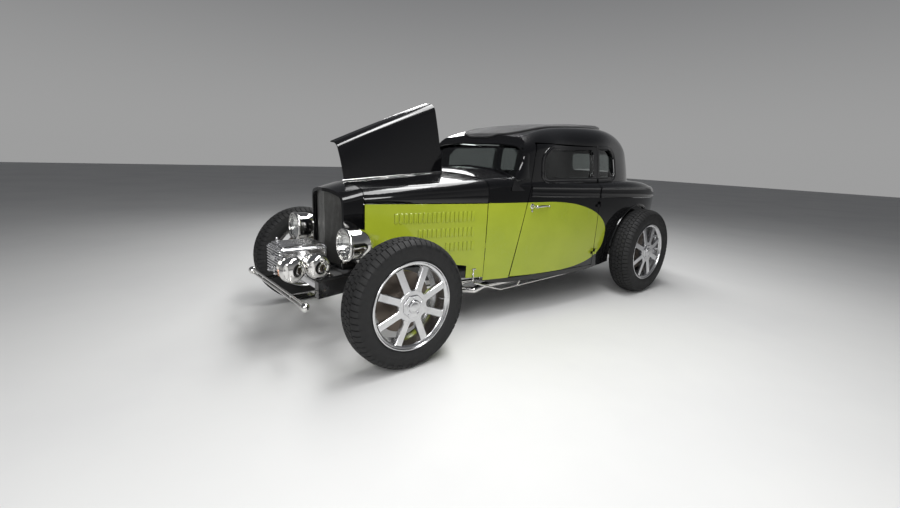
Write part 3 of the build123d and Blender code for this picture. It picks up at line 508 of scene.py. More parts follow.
def tubeAlong(bm, points, radius, sides=10, closed=False, material=0, flat=1.0, up=None):
    # round or flattened tube through points
    points = [Vector(p) for p in points]
    count = len(points)
    rings = []
    lastSide = None
    for i, p in enumerate(points):
        before = points[(i - 1) % count] if closed or i else p
        after = points[(i + 1) % count] if closed or i < count - 1 else p
        way = (after - before).normalized()
        guide = Vector(up) if up is not None else (lastSide if lastSide is not None else Vector((0, 0, 1)))
        if abs(way.dot(guide)) > 0.98:
            guide = Vector((1, 0, 0))
        side = way.cross(guide).normalized() if up is not None or lastSide is None else (guide - way
            * guide.dot(way)).normalized()
        lastSide = side
        other = way.cross(side).normalized()
        size = radius[i] if isinstance(radius, (list, tuple)) else radius
        ring = []
        for k in range(sides):
            a = math.tau * k / sides
            ring.append(bm.verts.new(p + side * (size * math.cos(a)) + other * (size * flat * math.sin(a))))
        rings.append(ring)
    last = count if closed else count - 1
    for i in range(last):
        near, far = rings[i], rings[(i + 1) % count]
        for k in range(sides):
            face = bm.faces.new((near[k], near[(k + 1) % sides], far[(k + 1) % sides], far[k]))
            face.material_index = material
    if not closed:
        for ring in (rings[0], rings[-1]):
            face = bm.faces.new(ring)
            face.material_index = material
    return rings


def wheelTurn(side, faceX, axleY, axleZ):
    # a wheel is drawn about Z with its outer face at z = 0, then turned to face out
    out = Vector((side, 0, 0))
    up = Vector((0, 0, 1))
    across = up.cross(out)
    turn = Matrix((across, up, out)).transposed().to_4x4()
    return Matrix.Translation((side * faceX, axleY, axleZ)) @ turn


corners = [
    # name, side, front or rear
    ("fl", 1, "front"), ("fr", -1, "front"), ("rl", 1, "rear"), ("rr", -1, "rear"),
]
cornerBody = {"fl": "front_wheel_left", "fr": "front_wheel_right", "rl": "rear_wheel_left",
              "rr": "rear_wheel_right"}


def cornerPlace(side, end):
    return wheelTurn(side, car[end + "FaceX"], car[end + "AxleY"], car[end + "TyreR"])


# tyres

tread = {
    "pitches": 64,
    "groove": 0.0085,
    "lean": 0.0016,        # how much a block's foot is wider than its top
    "gap": 0.18,           # share of a pitch that is groove
    "steps": 3,
    "fall": 0.16,          # drop of the crown at the shoulder, as a share of the width
    "fallPower": 4.0,
    "rows": [
        # inner edge, outer edge (share of the half width), pitch offset, slant in pitches, steps across
        (-0.13, 0.13, 0.0, 0.25, 4), (0.18, 0.49, 0.35, 0.55, 4), (-0.49, -0.18, 0.65, -0.55, 4),
        (0.55, 0.985, 0.10, 0.25, 6), (-0.985, -0.55, 0.40, -0.25, 6),
    ],
    "lugFoot": 0.040,      # how far every other shoulder lug runs down the sidewall
}


def crownAt(share, radius, width):
    return radius - tread["fall"] * width * abs(share) ** tread["fallPower"]


def tyreProfile(radius, width, inset):
    # (out, height) from the outer bead round the tread to the inner bead; the outer face is at height 0
    half = width / 2
    rim = car["rimR"]
    shoulder = radius - tread["fall"] * width
    middle = (rim + shoulder) / 2
    rise = (shoulder - rim) / 2
    wall = []
    beadLip = 0.020
    wall.append((rim - 0.022, half - beadLip - 0.004))
    wall.append((rim - 0.001, half - beadLip))
    wall.append((rim + 0.004, half - beadLip + 0.002))
    for i in range(1, 15):
        a = -1.0 + 2.0 * i / 15
        out = middle + rise * a
        bulge = half - 0.0015 - (beadLip - 0.002) * abs(a) ** 2.6 * (1.0 if a < 0 else 0.36)
        rib = 0.0012 * math.cos(a * 3.0) if i in (4, 5, 9, 10) else 0.0
        wall.append((out, bulge - rib))
    crown = []
    for i in range(17):
        share = 1.0 - 2.0 * i / 16
        crown.append((crownAt(share * 0.97, radius, width) - inset, share * 0.97 * half * 0.985))
    profile = wall + crown + [(r, -z) for r, z in reversed(wall)]
    return [(r, z - half) for r, z in profile]


def treadBlock(bm, radius, width, row, pitch):
    inner, outer, offset, slant, across = row
    half = width / 2
    step = math.tau / tread["pitches"]
    span = step * (1.0 - tread["gap"])
    tops, feet = [], []
    shoulderRow = abs(inner + outer) > 1.2
    for j in range(across + 1):
        share = inner + (outer - inner) * j / across
        rowTop, rowFoot = [], []
        for i in range(tread["steps"] + 1):
            part = i / tread["steps"]
            angle = step * (pitch + offset + slant * share) + span * (part - 0.5)
            edge = 1.0 - 2.0 * abs(part - 0.5)
            top = crownAt(share, radius, width) - 0.0006
            zTop = share * half * 0.985
            grow = tread["lean"] if j in (0, across) else 0.0
            zFoot = zTop + math.copysign(grow, share - (inner + outer) / 2)
            lean = tread["lean"] / radius * (1.0 if part > 0.5 else -1.0) * (1.0 if edge < 0.01 else 0.0)
            foot = top - tread["groove"]
            rowTop.append(bm.verts.new((top * math.cos(angle), top * math.sin(angle), zTop - half)))
            rowFoot.append(bm.verts.new((foot * math.cos(angle + lean), foot * math.sin(angle + lean),
                                         zFoot - half)))
        tops.append(rowTop)
        feet.append(rowFoot)
    if shoulderRow and pitch % 2 == 0:
        extendLug(bm, radius, width, tops, outerFirst=abs(inner) > abs(outer))
    for j in range(across):
        for i in range(tread["steps"]):
            bm.faces.new((tops[j][i], tops[j][i + 1], tops[j + 1][i + 1], tops[j + 1][i]))
    for j in range(across):
        for i in (0, tread["steps"]):
            bm.faces.new((tops[j][i], tops[j + 1][i], feet[j + 1][i], feet[j][i]))
    for j in (0, across):
        for i in range(tread["steps"]):
            bm.faces.new((tops[j][i], tops[j][i + 1], feet[j][i + 1], feet[j][i]))


def extendLug(bm, radius, width, tops, outerFirst):
    # every other shoulder lug runs a little way down the sidewall
    row = tops[0] if outerFirst else tops[-1]
    half = width / 2
    sign = math.copysign(1.0, row[0].co.z + half)
    shoulder = radius - tread["fall"] * width
    previous = row
    for k in range(1, 4):
        out = shoulder - tread["lugFoot"] * k / 3
        z = sign * (half - 0.0004 - 0.0012 * (3 - k) / 3) - half
        ring = []
        for v in row:
            angle = math.atan2(v.co.y, v.co.x)
            ring.append(bm.verts.new((out * math.cos(angle), out * math.sin(angle), z)))
        for i in range(len(row) - 1):
            bm.faces.new((previous[i], previous[i + 1], ring[i + 1], ring[i]))
        previous = ring
    inward = []
    for v in previous:
        inward.append(bm.verts.new((v.co.x, v.co.y, v.co.z - sign * 0.004)))
    for i in range(len(row) - 1):
        bm.faces.new((previous[i], previous[i + 1], inward[i + 1], inward[i]))


def makeTyre(name, side, end):
    radius, width = car[end + "TyreR"], car[end + "TyreW"]
    bm = bmesh.new()
    profile = tyreProfile(radius, width, tread["groove"])
    lathe(bm, profile + [profile[0]], 128)
    for pitch in range(tread["pitches"]):
        for row in tread["rows"]:
            treadBlock(bm, radius, width, row, pitch)
    mesh = fromBmesh("tyre_" + name + "_tread", bm)
    mesh.transform(cornerPlace(side, end))
    finish = frontRubber if end == "front" else rearRubber
    makeObject("tyre_" + name + "_tread", mesh, finish, cornerBody[name], ["tyre_" + name], 28.0)


# wheels

wheelLook = {
    "spokes": 8,
    "spokeHalf": 0.0235,
    "spokeRoot": 0.070,
    "spokeTip": 0.248,
    "spokeDepth": 0.026,
    "chamfer": 0.004,
    "faceDrop": 0.022,     # the spokes' face behind the tyre's outer face
    "dish": 0.006,
    "webRound": 0.030,
    "plateR": 0.073,
    "capR": 0.040,
    "nuts": 5,
    "nutR": 0.0105,
    "nutCircle": 0.056,
    "barrel": 0.246,
}


def spokeOutline(steps):
    # half outline of the open window between two spokes: rounded web at the hub, square corners at the rim
    w = wheelLook
    turn = math.pi / w["spokes"]
    points = []
    half = w["spokeHalf"]
    tip = w["spokeTip"]
    inner = w["plateR"] + 0.020
    points.append((tip * math.cos(math.asin((half + 0.004) / tip)), half + 0.004))
    points.append((tip - 0.012, half))
    meetR = half / math.tan(turn) if turn else 0.0
    near = max(inner, meetR / math.cos(turn) + w["webRound"])
    points.append((near + 0.022, half))
    for i in range(1, steps + 1):
        a = math.pi / 2 * i / steps
        points.append((near + 0.022 - 0.022 * math.sin(a), half + 0.010 * (1 - math.cos(a))))
    return points


def makeWheel(name, side, end):
    w = wheelLook
    width = car[end + "TyreW"]
    rim = car["rimR"]
    bm = bmesh.new()
    lip = 0.0085
    # barrel and both flanges, one turned piece
    profile = [
        (w["barrel"], -0.030), (w["barrel"] + 0.004, -0.024), (w["barrel"] + 0.008, -0.0215),
        (rim - 0.012, -0.0185), (rim - 0.007, -lip - 0.0005), (rim - 0.003, -lip + 0.0002),
        (rim, -lip - 0.002),
        (rim, -lip - 0.010), (rim - 0.022, -0.024), (w["barrel"] + 0.006, -0.040),
        (w["barrel"] + 0.006, -width + 0.040),
        (rim - 0.022, -width + 0.024), (rim, -width + lip + 0.010), (rim, -width + lip),
        (rim - 0.007, -width + lip),
        (rim - 0.014, -width + 0.018), (w["barrel"] - 0.006, -width + 0.026), (w["barrel"] - 0.006, -0.060),
        (w["barrel"], -0.048), (w["barrel"], -0.030),
    ]
    lathe(bm, profile, 128)
    face = -w["faceDrop"]
    back = face - w["spokeDepth"]
    step = math.tau / w["spokes"]
    for i in range(w["spokes"]):
        # one sector: spoke plus the web that joins it to its neighbour
        outline = spokeOutline(5)
        closing = []
        for x, y in outline:
            closing.append((x, y))
        full = [(x, -y) for x, y in closing] + [(x, y) for x, y in reversed(closing)]
        rows = []
        for inset, z in ((0.0, back), (0.0, face - w["chamfer"]), (w["chamfer"], face)):
            ring = []
            for x, y in full:
                yy = math.copysign(max(abs(y) - inset, 0.0), y)
                sink = w["dish"] * (1.0 - min(max((x - w["spokeRoot"]) / (w["spokeTip"] - w["spokeRoot"]),
                                                  0.0), 1.0))
                ring.append(bm.verts.new(Matrix.Rotation(step * (i + 0.5), 3,
                    "Z") @ Vector((x, yy, z + (sink if z > back else 0.0)))))
            rows.append(ring)
        for low, high in zip(rows, rows[1:]):
            for k in range(len(full) - 1):
                bm.faces.new((low[k], low[k + 1], high[k + 1], high[k]))
        bm.faces.new(rows[-1])
        bm.faces.new(list(reversed(rows[0])))
    # hub: round web disc, octagon plate and a stepped cap
    top = face + w["dish"]
    lathe(bm, [(0.001, back), (w["plateR"] + 0.024, back), (w["plateR"] + 0.026, top - 0.004),
               (w["plateR"] + 0.022, top), (0.001, top)], 96)
    lathe(bm, [(0.001, top - 0.002), (w["plateR"], top - 0.002), (w["plateR"], top + 0.005),
               (w["plateR"] - 0.003, top + 0.008),
               (0.001, top + 0.008)], w["spokes"], start=step / 2)
    cap = w["capR"]
    high = top + 0.008
    lathe(bm, [(cap + 0.004, high - 0.001), (cap + 0.004, high + 0.002), (cap, high + 0.004),
               (cap - 0.003, high + 0.009),
               (cap - 0.007, high + 0.010), (cap - 0.012, high + 0.0085), (cap - 0.016, high + 0.0105),
               (0.010, high + 0.0115),
               (0.0005, high + 0.0115)], 64)
    for i in range(w["nuts"]):
        a = math.tau * i / w["nuts"] + 0.3
        place = Matrix.Translation((w["nutCircle"] * math.cos(a), w["nutCircle"] * math.sin(a), high))
        made = bmesh.ops.create_cone(bm, segments=6, radius1=w["nutR"], radius2=w["nutR"] * 0.72,
                                     depth=0.010, cap_ends=True)
        bmesh.ops.transform(bm, matrix=place, verts=made["verts"])
    # hub barrel behind the spokes, and the valve
    lathe(bm, [(0.021, back), (0.062, back), (0.062, -0.158), (0.021, -0.158)], 48)
    valve = Matrix.Translation((0.228, 0.004, face - 0.012)) @ Matrix.Rotation(0.5, 4, "Y")
    made = bmesh.ops.create_cone(bm, segments=12, radius1=0.004, radius2=0.003, depth=0.036, cap_ends=True)
    bmesh.ops.transform(bm, matrix=valve, verts=made["verts"])
    mesh = fromBmesh("wheel_" + name + "_alloy", bm)
    mesh.transform(cornerPlace(side, end))
    makeObject("wheel_" + name + "_alloy", mesh, polishedAlloy, cornerBody[name],
               ["wheel_" + name], 32.0)


print("tyres and wheels")
for name, side, end in corners:
    makeTyre(name, side, end)
    makeWheel(name, side, end)
# body trim that follows the panels

skinTrees = {}


def skinTree(name):
    if name not in skinTrees:
        mesh = nodes[name].data
        spots = [v.co.copy() for v in mesh.vertices]
        skinTrees[name] = BVHTree.FromPolygons(spots, [p.vertices[:] for p in mesh.polygons])
    return skinTrees[name]


def skinPoint(names, start, way, lift):
    # first panel met from start along way, lifted off along its own normal
    best = None
    for name in names:
        spot, normal, face, reach = skinTree(name).ray_cast(Vector(start), Vector(way))
        if spot is not None and (best is None or reach < best[2]):
            best = (spot, normal, reach)
    if best is None:
        return None
    spot, normal, reach = best
    if normal.dot(Vector(way)) > 0:
        normal = -normal
    return spot + normal * lift


def bandOnSkin(bm, names, side, path, profile, material=0):
    # a moulding: path of (y, z, across y, across z), profile of (share across, lift), both ends closed
    rows = []
    for y, z, ay, az in path:
        row = []
        for share, lift in profile:
            start = (side * 1.2, y + ay * share, z + az * share)
            spot = skinPoint(names, start, (-side, 0, 0), lift)
            if spot is not None:
                row.append(spot)
        if len(row) == len(profile):
            rows.append([bm.verts.new(p) for p in row])
    for near, far in zip(rows, rows[1:]):
        for k in range(len(profile) - 1):
            face = bm.faces.new((near[k], near[k + 1], far[k + 1], far[k]))
            face.material_index = material
    for row in (rows[0], rows[-1]):
        face = bm.faces.new(row)
        face.material_index = material


def roundedPath(points, radius, steps=6, closed=False):
    # (y, z) corners turned into a path with arcs at the corners
    made = []
    count = len(points)
    for i, p in enumerate(points):
        here = Vector(p)
        if not closed and i in (0, count - 1):
            made.append(here)
            continue
        before = (Vector(points[i - 1]) - here)
        after = (Vector(points[(i + 1) % count]) - here)
        cut = min(radius, 0.45 * before.length, 0.45 * after.length)
        a = here + before.normalized() * cut
        b = here + after.normalized() * cut
        for k in range(steps + 1):
            t = k / steps
            made.append(a * (1 - t) ** 2 + here * (2 * t * (1 - t)) + b * t * t)
    return made


def evenPath(points, gap, closed=False):
    # the same path with even steps
    spots = list(points) + ([points[0]] if closed else [])
    lengths = [0.0]
    for a, b in zip(spots, spots[1:]):
        lengths.append(lengths[-1] + (b - a).length)
    count = max(2, int(lengths[-1] / gap))
    made = []
    k = 0
    for i in range(count + (0 if closed else 1)):
        want = lengths[-1] * i / count
        while k < len(lengths) - 2 and lengths[k + 1] < want:
            k += 1
        span = max(lengths[k + 1] - lengths[k], 1e-9)
        made.append(spots[k].lerp(spots[k + 1], (want - lengths[k]) / span))
    return made


def acrossPath(path, half, flip=1.0, closed=False):
    # (y, z) points to (y, z, across y, across z) with the normal of the path in that plane
    made = []
    count = len(path)
    for i, p in enumerate(path):
        before = path[(i - 1) % count] if closed or i else p
        after = path[(i + 1) % count] if closed or i < count - 1 else p
        way = (after - before).normalized()
        made.append((atY(p.x), p.y, -way.y * half * flip, way.x * half * flip))
    return made


sideBody = {1: "left", -1: "right"}
sideLetter = {1: "l", -1: "r"}

# half widths of the hood side's skin: y, at the middle of its height, how much it narrows each way
hoodSkin = {
    "stations": ((0.006, 0.277, 0.262), (0.420, 0.410, 0.395), (0.884, 0.548, 0.532)),
    "low": 0.300,
    "high": 1.100,
    "belly": 0.006,
}


def hoodSideX(y, z):
    share = (z - hoodSkin["low"]) / (hoodSkin["high"] - hoodSkin["low"])
    rise = hoodSkin["belly"] * (1 - (2 * share - 1) ** 2)
    ys = [s[0] for s in hoodSkin["stations"]]
    widths = [s[2] + (s[1] - s[2]) * share + rise for s in hoodSkin["stations"]]
    total = 0.0
    for i in range(3):
        j, k = [n for n in range(3) if n != i]
        total += widths[i] * (y - ys[j]) * (y - ys[k]) / ((ys[i] - ys[j]) * (ys[i] - ys[k]))
    return total


louvres = {
    "rows": (
        # count, first and last y, foot at the first and last, top at the first and last
        (18, 0.211, 0.766, 0.800, 0.809, 0.869, 0.883),
        (13, 0.375, 0.772, 0.696, 0.697, 0.753, 0.765),
        (7, 0.578, 0.777, 0.592, 0.590, 0.652, 0.659),
    ),
    "wide": 0.025,
    "proud": 0.0090,
    "sunk": 0.0012,
    "steps": 12,
    "spread": 6,
}


def addLouvre(bm, side, y, low, high):
    # pressed scoop, open to the rear: rises from the front and ends in an upright mouth
    s = louvres
    rows = []
    reach = 0.004
    for i in range(s["steps"] + 1):
        u = -1.0 + 2.0 * i / s["steps"]
        z = (low + high) / 2 + u * ((high - low) / 2 + reach)
        dome = max(0.0, 1.0 - abs(u) ** 3.0) ** 0.6
        row = []
        for k in range(s["spread"] + 1):
            v = k / s["spread"]
            place = y - s["wide"] / 2 + s["wide"] * v
            lift = s["proud"] * dome * math.sin(math.pi / 2 * v) ** 1.3 - s["sunk"]
            row.append(bm.verts.new((side * (hoodSideX(place, z) + lift), atY(place), z)))
        place = y + s["wide"] / 2 - 0.0015
        row.append(bm.verts.new((side * (hoodSideX(place, z) + s["proud"] * dome * 0.86 - s["sunk"]),
                                 atY(place), z)))
        row.append(bm.verts.new((side * (hoodSideX(place, z) - s["sunk"]), atY(place - 0.004), z)))
        rows.append(row)
    for a, b in zip(rows, rows[1:]):
        for k in range(len(a) - 1):
            bm.faces.new((a[k], a[k + 1], b[k + 1], b[k]))


def makeLouvres():
    bm = bmesh.new()
    for side in (1, -1):
        for count, first, last, lowFirst, lowLast, highFirst, highLast in louvres["rows"]:
            for i in range(count):
                t = i / (count - 1)
                low = lowFirst + (lowLast - lowFirst) * t
                high = highFirst + (highLast - highFirst) * t
                addLouvre(bm, side, first + (last - first) * t, low, high)
    makeObject("hood_louvres", fromBmesh("hood_louvres", bm), louvrePaint, "root", (), 38.0)


belt = {
    "ridge": 0.0085,
    "valley": 0.0035,
    "doorFrom": 1.282,
    "doorTo": 2.124,
    "rearFrom": 2.148,
    "rearTo": 3.560,
    "gap": 0.03,
    # middle height and half height at two places back from the front axle
    "near": (1.295, 1.024, 0.043),
    "far": (3.075, 0.981, 0.056),
}


def beltPath(start, end):
    y0, z0, h0 = belt["near"]
    y1, z1, h1 = belt["far"]
    count = int((end - start) / belt["gap"])
    made = []
    for i in range(count + 1):
        y = start + (end - start) * i / count
        t = (y - y0) / (y1 - y0)
        made.append((atY(y), z0 + (z1 - z0) * t, 0.0, h0 + (h1 - h0) * t))
    return made


def beltProfile():
    r, v = belt["ridge"], belt["valley"]
    half = [(0.0, v), (0.45, v), (0.58, v * 1.3), (0.66, r * 0.75), (0.74, r), (0.84, r * 0.92),
            (0.93, r * 0.5), (1.0, -0.001)]
    return [(-share, lift) for share, lift in reversed(half[1:])] + half


def makeBelts():
    for side in (1, -1):
        letter = sideLetter[side]
        bm = bmesh.new()
        bandOnSkin(bm, ["door_" + letter], side, beltPath(belt["doorFrom"], belt["doorTo"]), beltProfile())
        makeObject("door_belt_" + letter, fromBmesh("door_belt_" + letter, bm), coupePaint,
                   "door_" + sideBody[side])
        bm = bmesh.new()
        bandOnSkin(bm, ["rear_body", "cab"], side, beltPath(belt["rearFrom"], belt["rearTo"]),
                   beltProfile())
        makeObject("rear_belt_" + letter, fromBmesh("rear_belt_" + letter, bm), coupePaint, "root")


windowFrame = {
    "half": 0.019,
    "edge": 0.022,         # from the window's edge to the middle of the moulding
    "proud": 0.010,
    "corner": 0.075,
    "gap": 0.014,
    "door": ((2.122, 1.106), (1.403, 1.104), (1.403, 1.285), (1.490, 1.364), (2.122, 1.391)),
    "quarter": ((2.150, 1.391), (2.355, 1.397), (2.448, 1.338), (2.448, 1.113), (2.150, 1.106)),
}


def frameProfile():
    p = windowFrame["proud"]
    return [(-1.0, -0.001), (-0.93, p * 0.5), (-0.75, p * 0.9), (-0.45, p), (-0.2, p * 0.72),
            (0.0, p * 0.62), (0.25, p * 0.8),
            (0.6, p * 0.95), (0.88, p * 0.6), (1.0, -0.001)]


def makeWindowFrames():
    w = windowFrame
    for side in (1, -1):
        letter = sideLetter[side]
        places = (("door", "door_" + letter, "door_" + sideBody[side]), ("quarter", "cab", "root"))
        for key, panel, body in places:
            path = evenPath(roundedPath(w[key], w["corner"]), w["gap"])
            bm = bmesh.new()
            names = [panel] if key == "door" else [panel, "rear_body"]
            bandOnSkin(bm, names, side, acrossPath(path, w["half"]), frameProfile())
            name = key + "_window_frame_" + letter
            makeObject(name, fromBmesh(name, bm), coupePaint, body)


archBead = {"radius": 0.453, "half": 0.009, "proud": 0.010, "from": -12.0, "to": 176.0, "steps": 64}


def makeArchBeads():
    a = archBead
    profile = [(-1.0, -0.001), (-0.7, a["proud"] * 0.75), (0.0, a["proud"]), (0.7, a["proud"] * 0.75),
               (1.0, -0.001)]
    bm = bmesh.new()
    for side in (1, -1):
        path = []
        for i in range(a["steps"] + 1):
            angle = math.radians(a["from"] + (a["to"] - a["from"]) * i / a["steps"])
            y = car["rearAxleY"] + a["radius"] * math.cos(angle)
            z = car["rearTyreR"] + a["radius"] * math.sin(angle)
            path.append((y, z, math.cos(angle) * a["half"], math.sin(angle) * a["half"]))
        bandOnSkin(bm, ["rear_body"], side, path, profile)
    makeObject("arch_beads", fromBmesh("arch_beads", bm), coupePaint, "root")


screenFrame = {
    "outline": ((0.0, 1.212), (0.326, 1.197), (0.445, 1.175), (0.560, 1.138), (0.600, 1.100),
                (0.562, 1.338), (0.470, 1.372), (0.244, 1.389)),
    "half": 0.011,
    "proud": 0.008,
    "corner": 0.05,
    "gap": 0.015,
}


def makeScreenFrame():
    s = screenFrame
    half = list(s["outline"])
    loop = half + [(-x, z) for x, z in reversed(half[1:])]
    path = evenPath(roundedPath(loop, s["corner"], closed=True), s["gap"], closed=True)
    rows = []
    bm = bmesh.new()
    count = len(path)
    profile = [(-1.0, -0.001), (-0.7, s["proud"] * 0.8), (0.0, s["proud"]), (0.7, s["proud"] * 0.8),
               (1.0, -0.001)]
    for i, p in enumerate(path):
        way = (path[(i + 1) % count] - path[i - 1]).normalized()
        row = []
        for share, lift in profile:
            start = (p.x - way.y * s["half"] * share, atY(0.6), p.y + way.x * s["half"] * share)
            spot = skinPoint(["cab", "cowl"], start, (0, 1, 0), lift)
            row.append(spot)
        if all(q is not None for q in row) and all(q.y < atY(1.33) for q in row):
            rows.append((i, [bm.verts.new(q) for q in row]))
    for (i, a), (j, b) in zip(rows, rows[1:] + rows[:1]):
        if (j - i) % count < 3:
            for k in range(len(profile) - 1):
                bm.faces.new((a[k], a[k + 1], b[k + 1], b[k]))
    makeObject("screen_frame", fromBmesh("screen_frame", bm), coupePaint, "root")


print("body trim")
makeLouvres()
makeBelts()
makeWindowFrames()
makeArchBeads()
makeScreenFrame()


# roof insert: cloth stretched over its bows, held along its edge, with a round welt about it

roof = {
    "front": 1.290,
    "rear": 2.715,
    "halfFront": 0.374,
    "halfMiddle": 0.386,
    "halfRear": 0.360,
    # how far the cloth stands over the roof, by the distance back from the front axle
    "lifts": ((1.290, 0.009), (1.950, 0.012), (2.050, 0.014), (2.150, 0.018), (2.280, 0.024),
              (2.390, 0.030), (2.500, 0.038), (2.720, 0.038)),
    "edge": 0.030,          # how far in from the edge the cloth climbs to its height
    "rollFrom": 2.600,      # the padded rear end
    "rollLift": 0.006,
    "bows": (1.62, 1.95, 2.28),
    "bowLift": 0.0022,
    "across": 44,
    "along": 84,
    "corner": 4.0,          # power of the rounded corners in plan
    "weltR": 0.0085,
}


def roofHalf(y):
    t = (y - roof["front"]) / (roof["rear"] - roof["front"])
    a, b, c = roof["halfFront"], roof["halfMiddle"], roof["halfRear"]
    return a * (1 - t) * (1 - 2 * t) + 4 * b * t * (1 - t) + c * t * (2 * t - 1)


def roofTop(x, y):
    spot = skinPoint(["cab"], (x, y, 2.2), (0, 0, -1), 0.0)
    return spot.z if spot is not None else 1.5


def roofPlan(u, v):
    # u across and v along, both from -1 to 1, to a place in plan with rounded corners
    power = roof["corner"]
    size = max(abs(u), abs(v))
    if size < 1e-6:
        shrink = 1.0
    else:
        shrink = size / (abs(u) ** power + abs(v) ** power) ** (1.0 / power)
    shrink = 1.0 + (shrink - 1.0) * size ** 6
    along = (v * shrink + 1.0) / 2
    y = roof["front"] + (roof["rear"] - roof["front"]) * along
    return u * shrink * roofHalf(y), y


def roofLift(y):
    for (a, low), (b, high) in zip(roof["lifts"], roof["lifts"][1:]):
        if y <= b:
            return low + (high - low) * max(0.0, (y - a) / (b - a))
    return roof["lifts"][-1][1]


def roofHeight(x, y, edge):
    rise = min(1.0, edge / roof["edge"])
    lift = roofLift(y) * (1 - (1 - rise) ** 2) ** 0.5
    roll = max(0.0, (y - roof["rollFrom"]) / (roof["rear"] - roof["rollFrom"]))
    lift += roof["rollLift"] * math.sin(math.pi * min(roll, 1.0)) ** 0.7 if roll > 0 else 0.0
    for bow in roof["bows"]:
        lift += roof["bowLift"] * math.exp(-((y - bow) / 0.030) ** 2) * rise
    return roofTop(x, atY(y)) + lift


def makeRoofInsert():
    r = roof
    bm = bmesh.new()
    grid = []
    wide = r["halfMiddle"]
    long = (r["rear"] - r["front"]) / 2
    for j in range(r["along"] + 1):
        row = []
        for i in range(r["across"] + 1):
            # closer rows at the edges, where the cloth turns down
            u = math.sin(math.pi / 2 * (2 * i / r["across"] - 1)) * 0.55 + (2 * i / r["across"] - 1) * 0.45
            v = math.sin(math.pi / 2 * (2 * j / r["along"] - 1)) * 0.45 + (2 * j / r["along"] - 1) * 0.55
            x, y = roofPlan(u, v)
            edge = min((1 - abs(u)) * wide, (1 - abs(v)) * long)
            row.append(bm.verts.new((x, atY(y), roofHeight(x, y, edge) - (0.0015 if edge < 1e-6 else 0.0))))
        grid.append(row)
    for a, b in zip(grid, grid[1:]):
        for i in range(len(a) - 1):
            bm.faces.new((a[i], a[i + 1], b[i + 1], b[i]))
    cloth = makeObject("roof_cloth", fromBmesh("roof_cloth", bm), roofCloth, "root",
                       ["roof_insert"], 50.0)
    area = sum(p.area for p in cloth.data.polygons)
    print("roof cloth area", round(area, 3))
    return cloth


def makeRoofWelt():
    # round welt that covers the cloth's edge
    r = roof
    points = []
    steps = 200
    for i in range(steps):
        a = math.tau * i / steps
        u, v = math.cos(a), math.sin(a)
        size = max(abs(u), abs(v))
        x, y = roofPlan(u / size, v / size)
        points.append((x, atY(y), roofTop(x, atY(y)) + r["weltR"] * 0.55))
    bm = bmesh.new()
    tubeAlong(bm, points, r["weltR"], 10, closed=True)
    makeObject("roof_welt", fromBmesh("roof_welt", bm), roofCloth, "root")


print("roof")
roofSheet = makeRoofInsert()
makeRoofWelt()


# head lamps: bright bowl, stepped rim, ribbed glass, bulb and reflector, stalk and foot

lamp = {
    "x": 0.412,
    "y": -0.214,
    "z": 0.704,
    "r": 0.105,
    "length": 0.196,
    "tip": 0.022,
    "dome": 0.014,
    "ribs": 17,
    "ribDeep": 0.0012,
    "stalkR": 0.0125,
}


def lampPlace(side):
    # drawn about Z with the glass at the top, turned to look ahead
    turn = Matrix.Rotation(math.radians(90), 4, "X")
    return Matrix.Translation((side * lamp["x"], atY(lamp["y"]), lamp["z"])) @ turn


def bowlProfile():
    p = lamp
    profile = [(0.0005, -p["length"] - 0.004), (0.008, -p["length"] - 0.003), (0.010, -p["length"])]
    steps = 22
    for i in range(1, steps + 1):
        t = i / steps
        # teardrop: quarter ellipse that fattens towards the rim
        back = -p["length"] * (1 - t)
        out = p["tip"] * (1 - t) + (p["r"] - 0.004) * (1 - (1 - t) ** 2.15) ** 0.58
        profile.append((min(out, p["r"] - 0.004), back - 0.020 * t))
    return profile


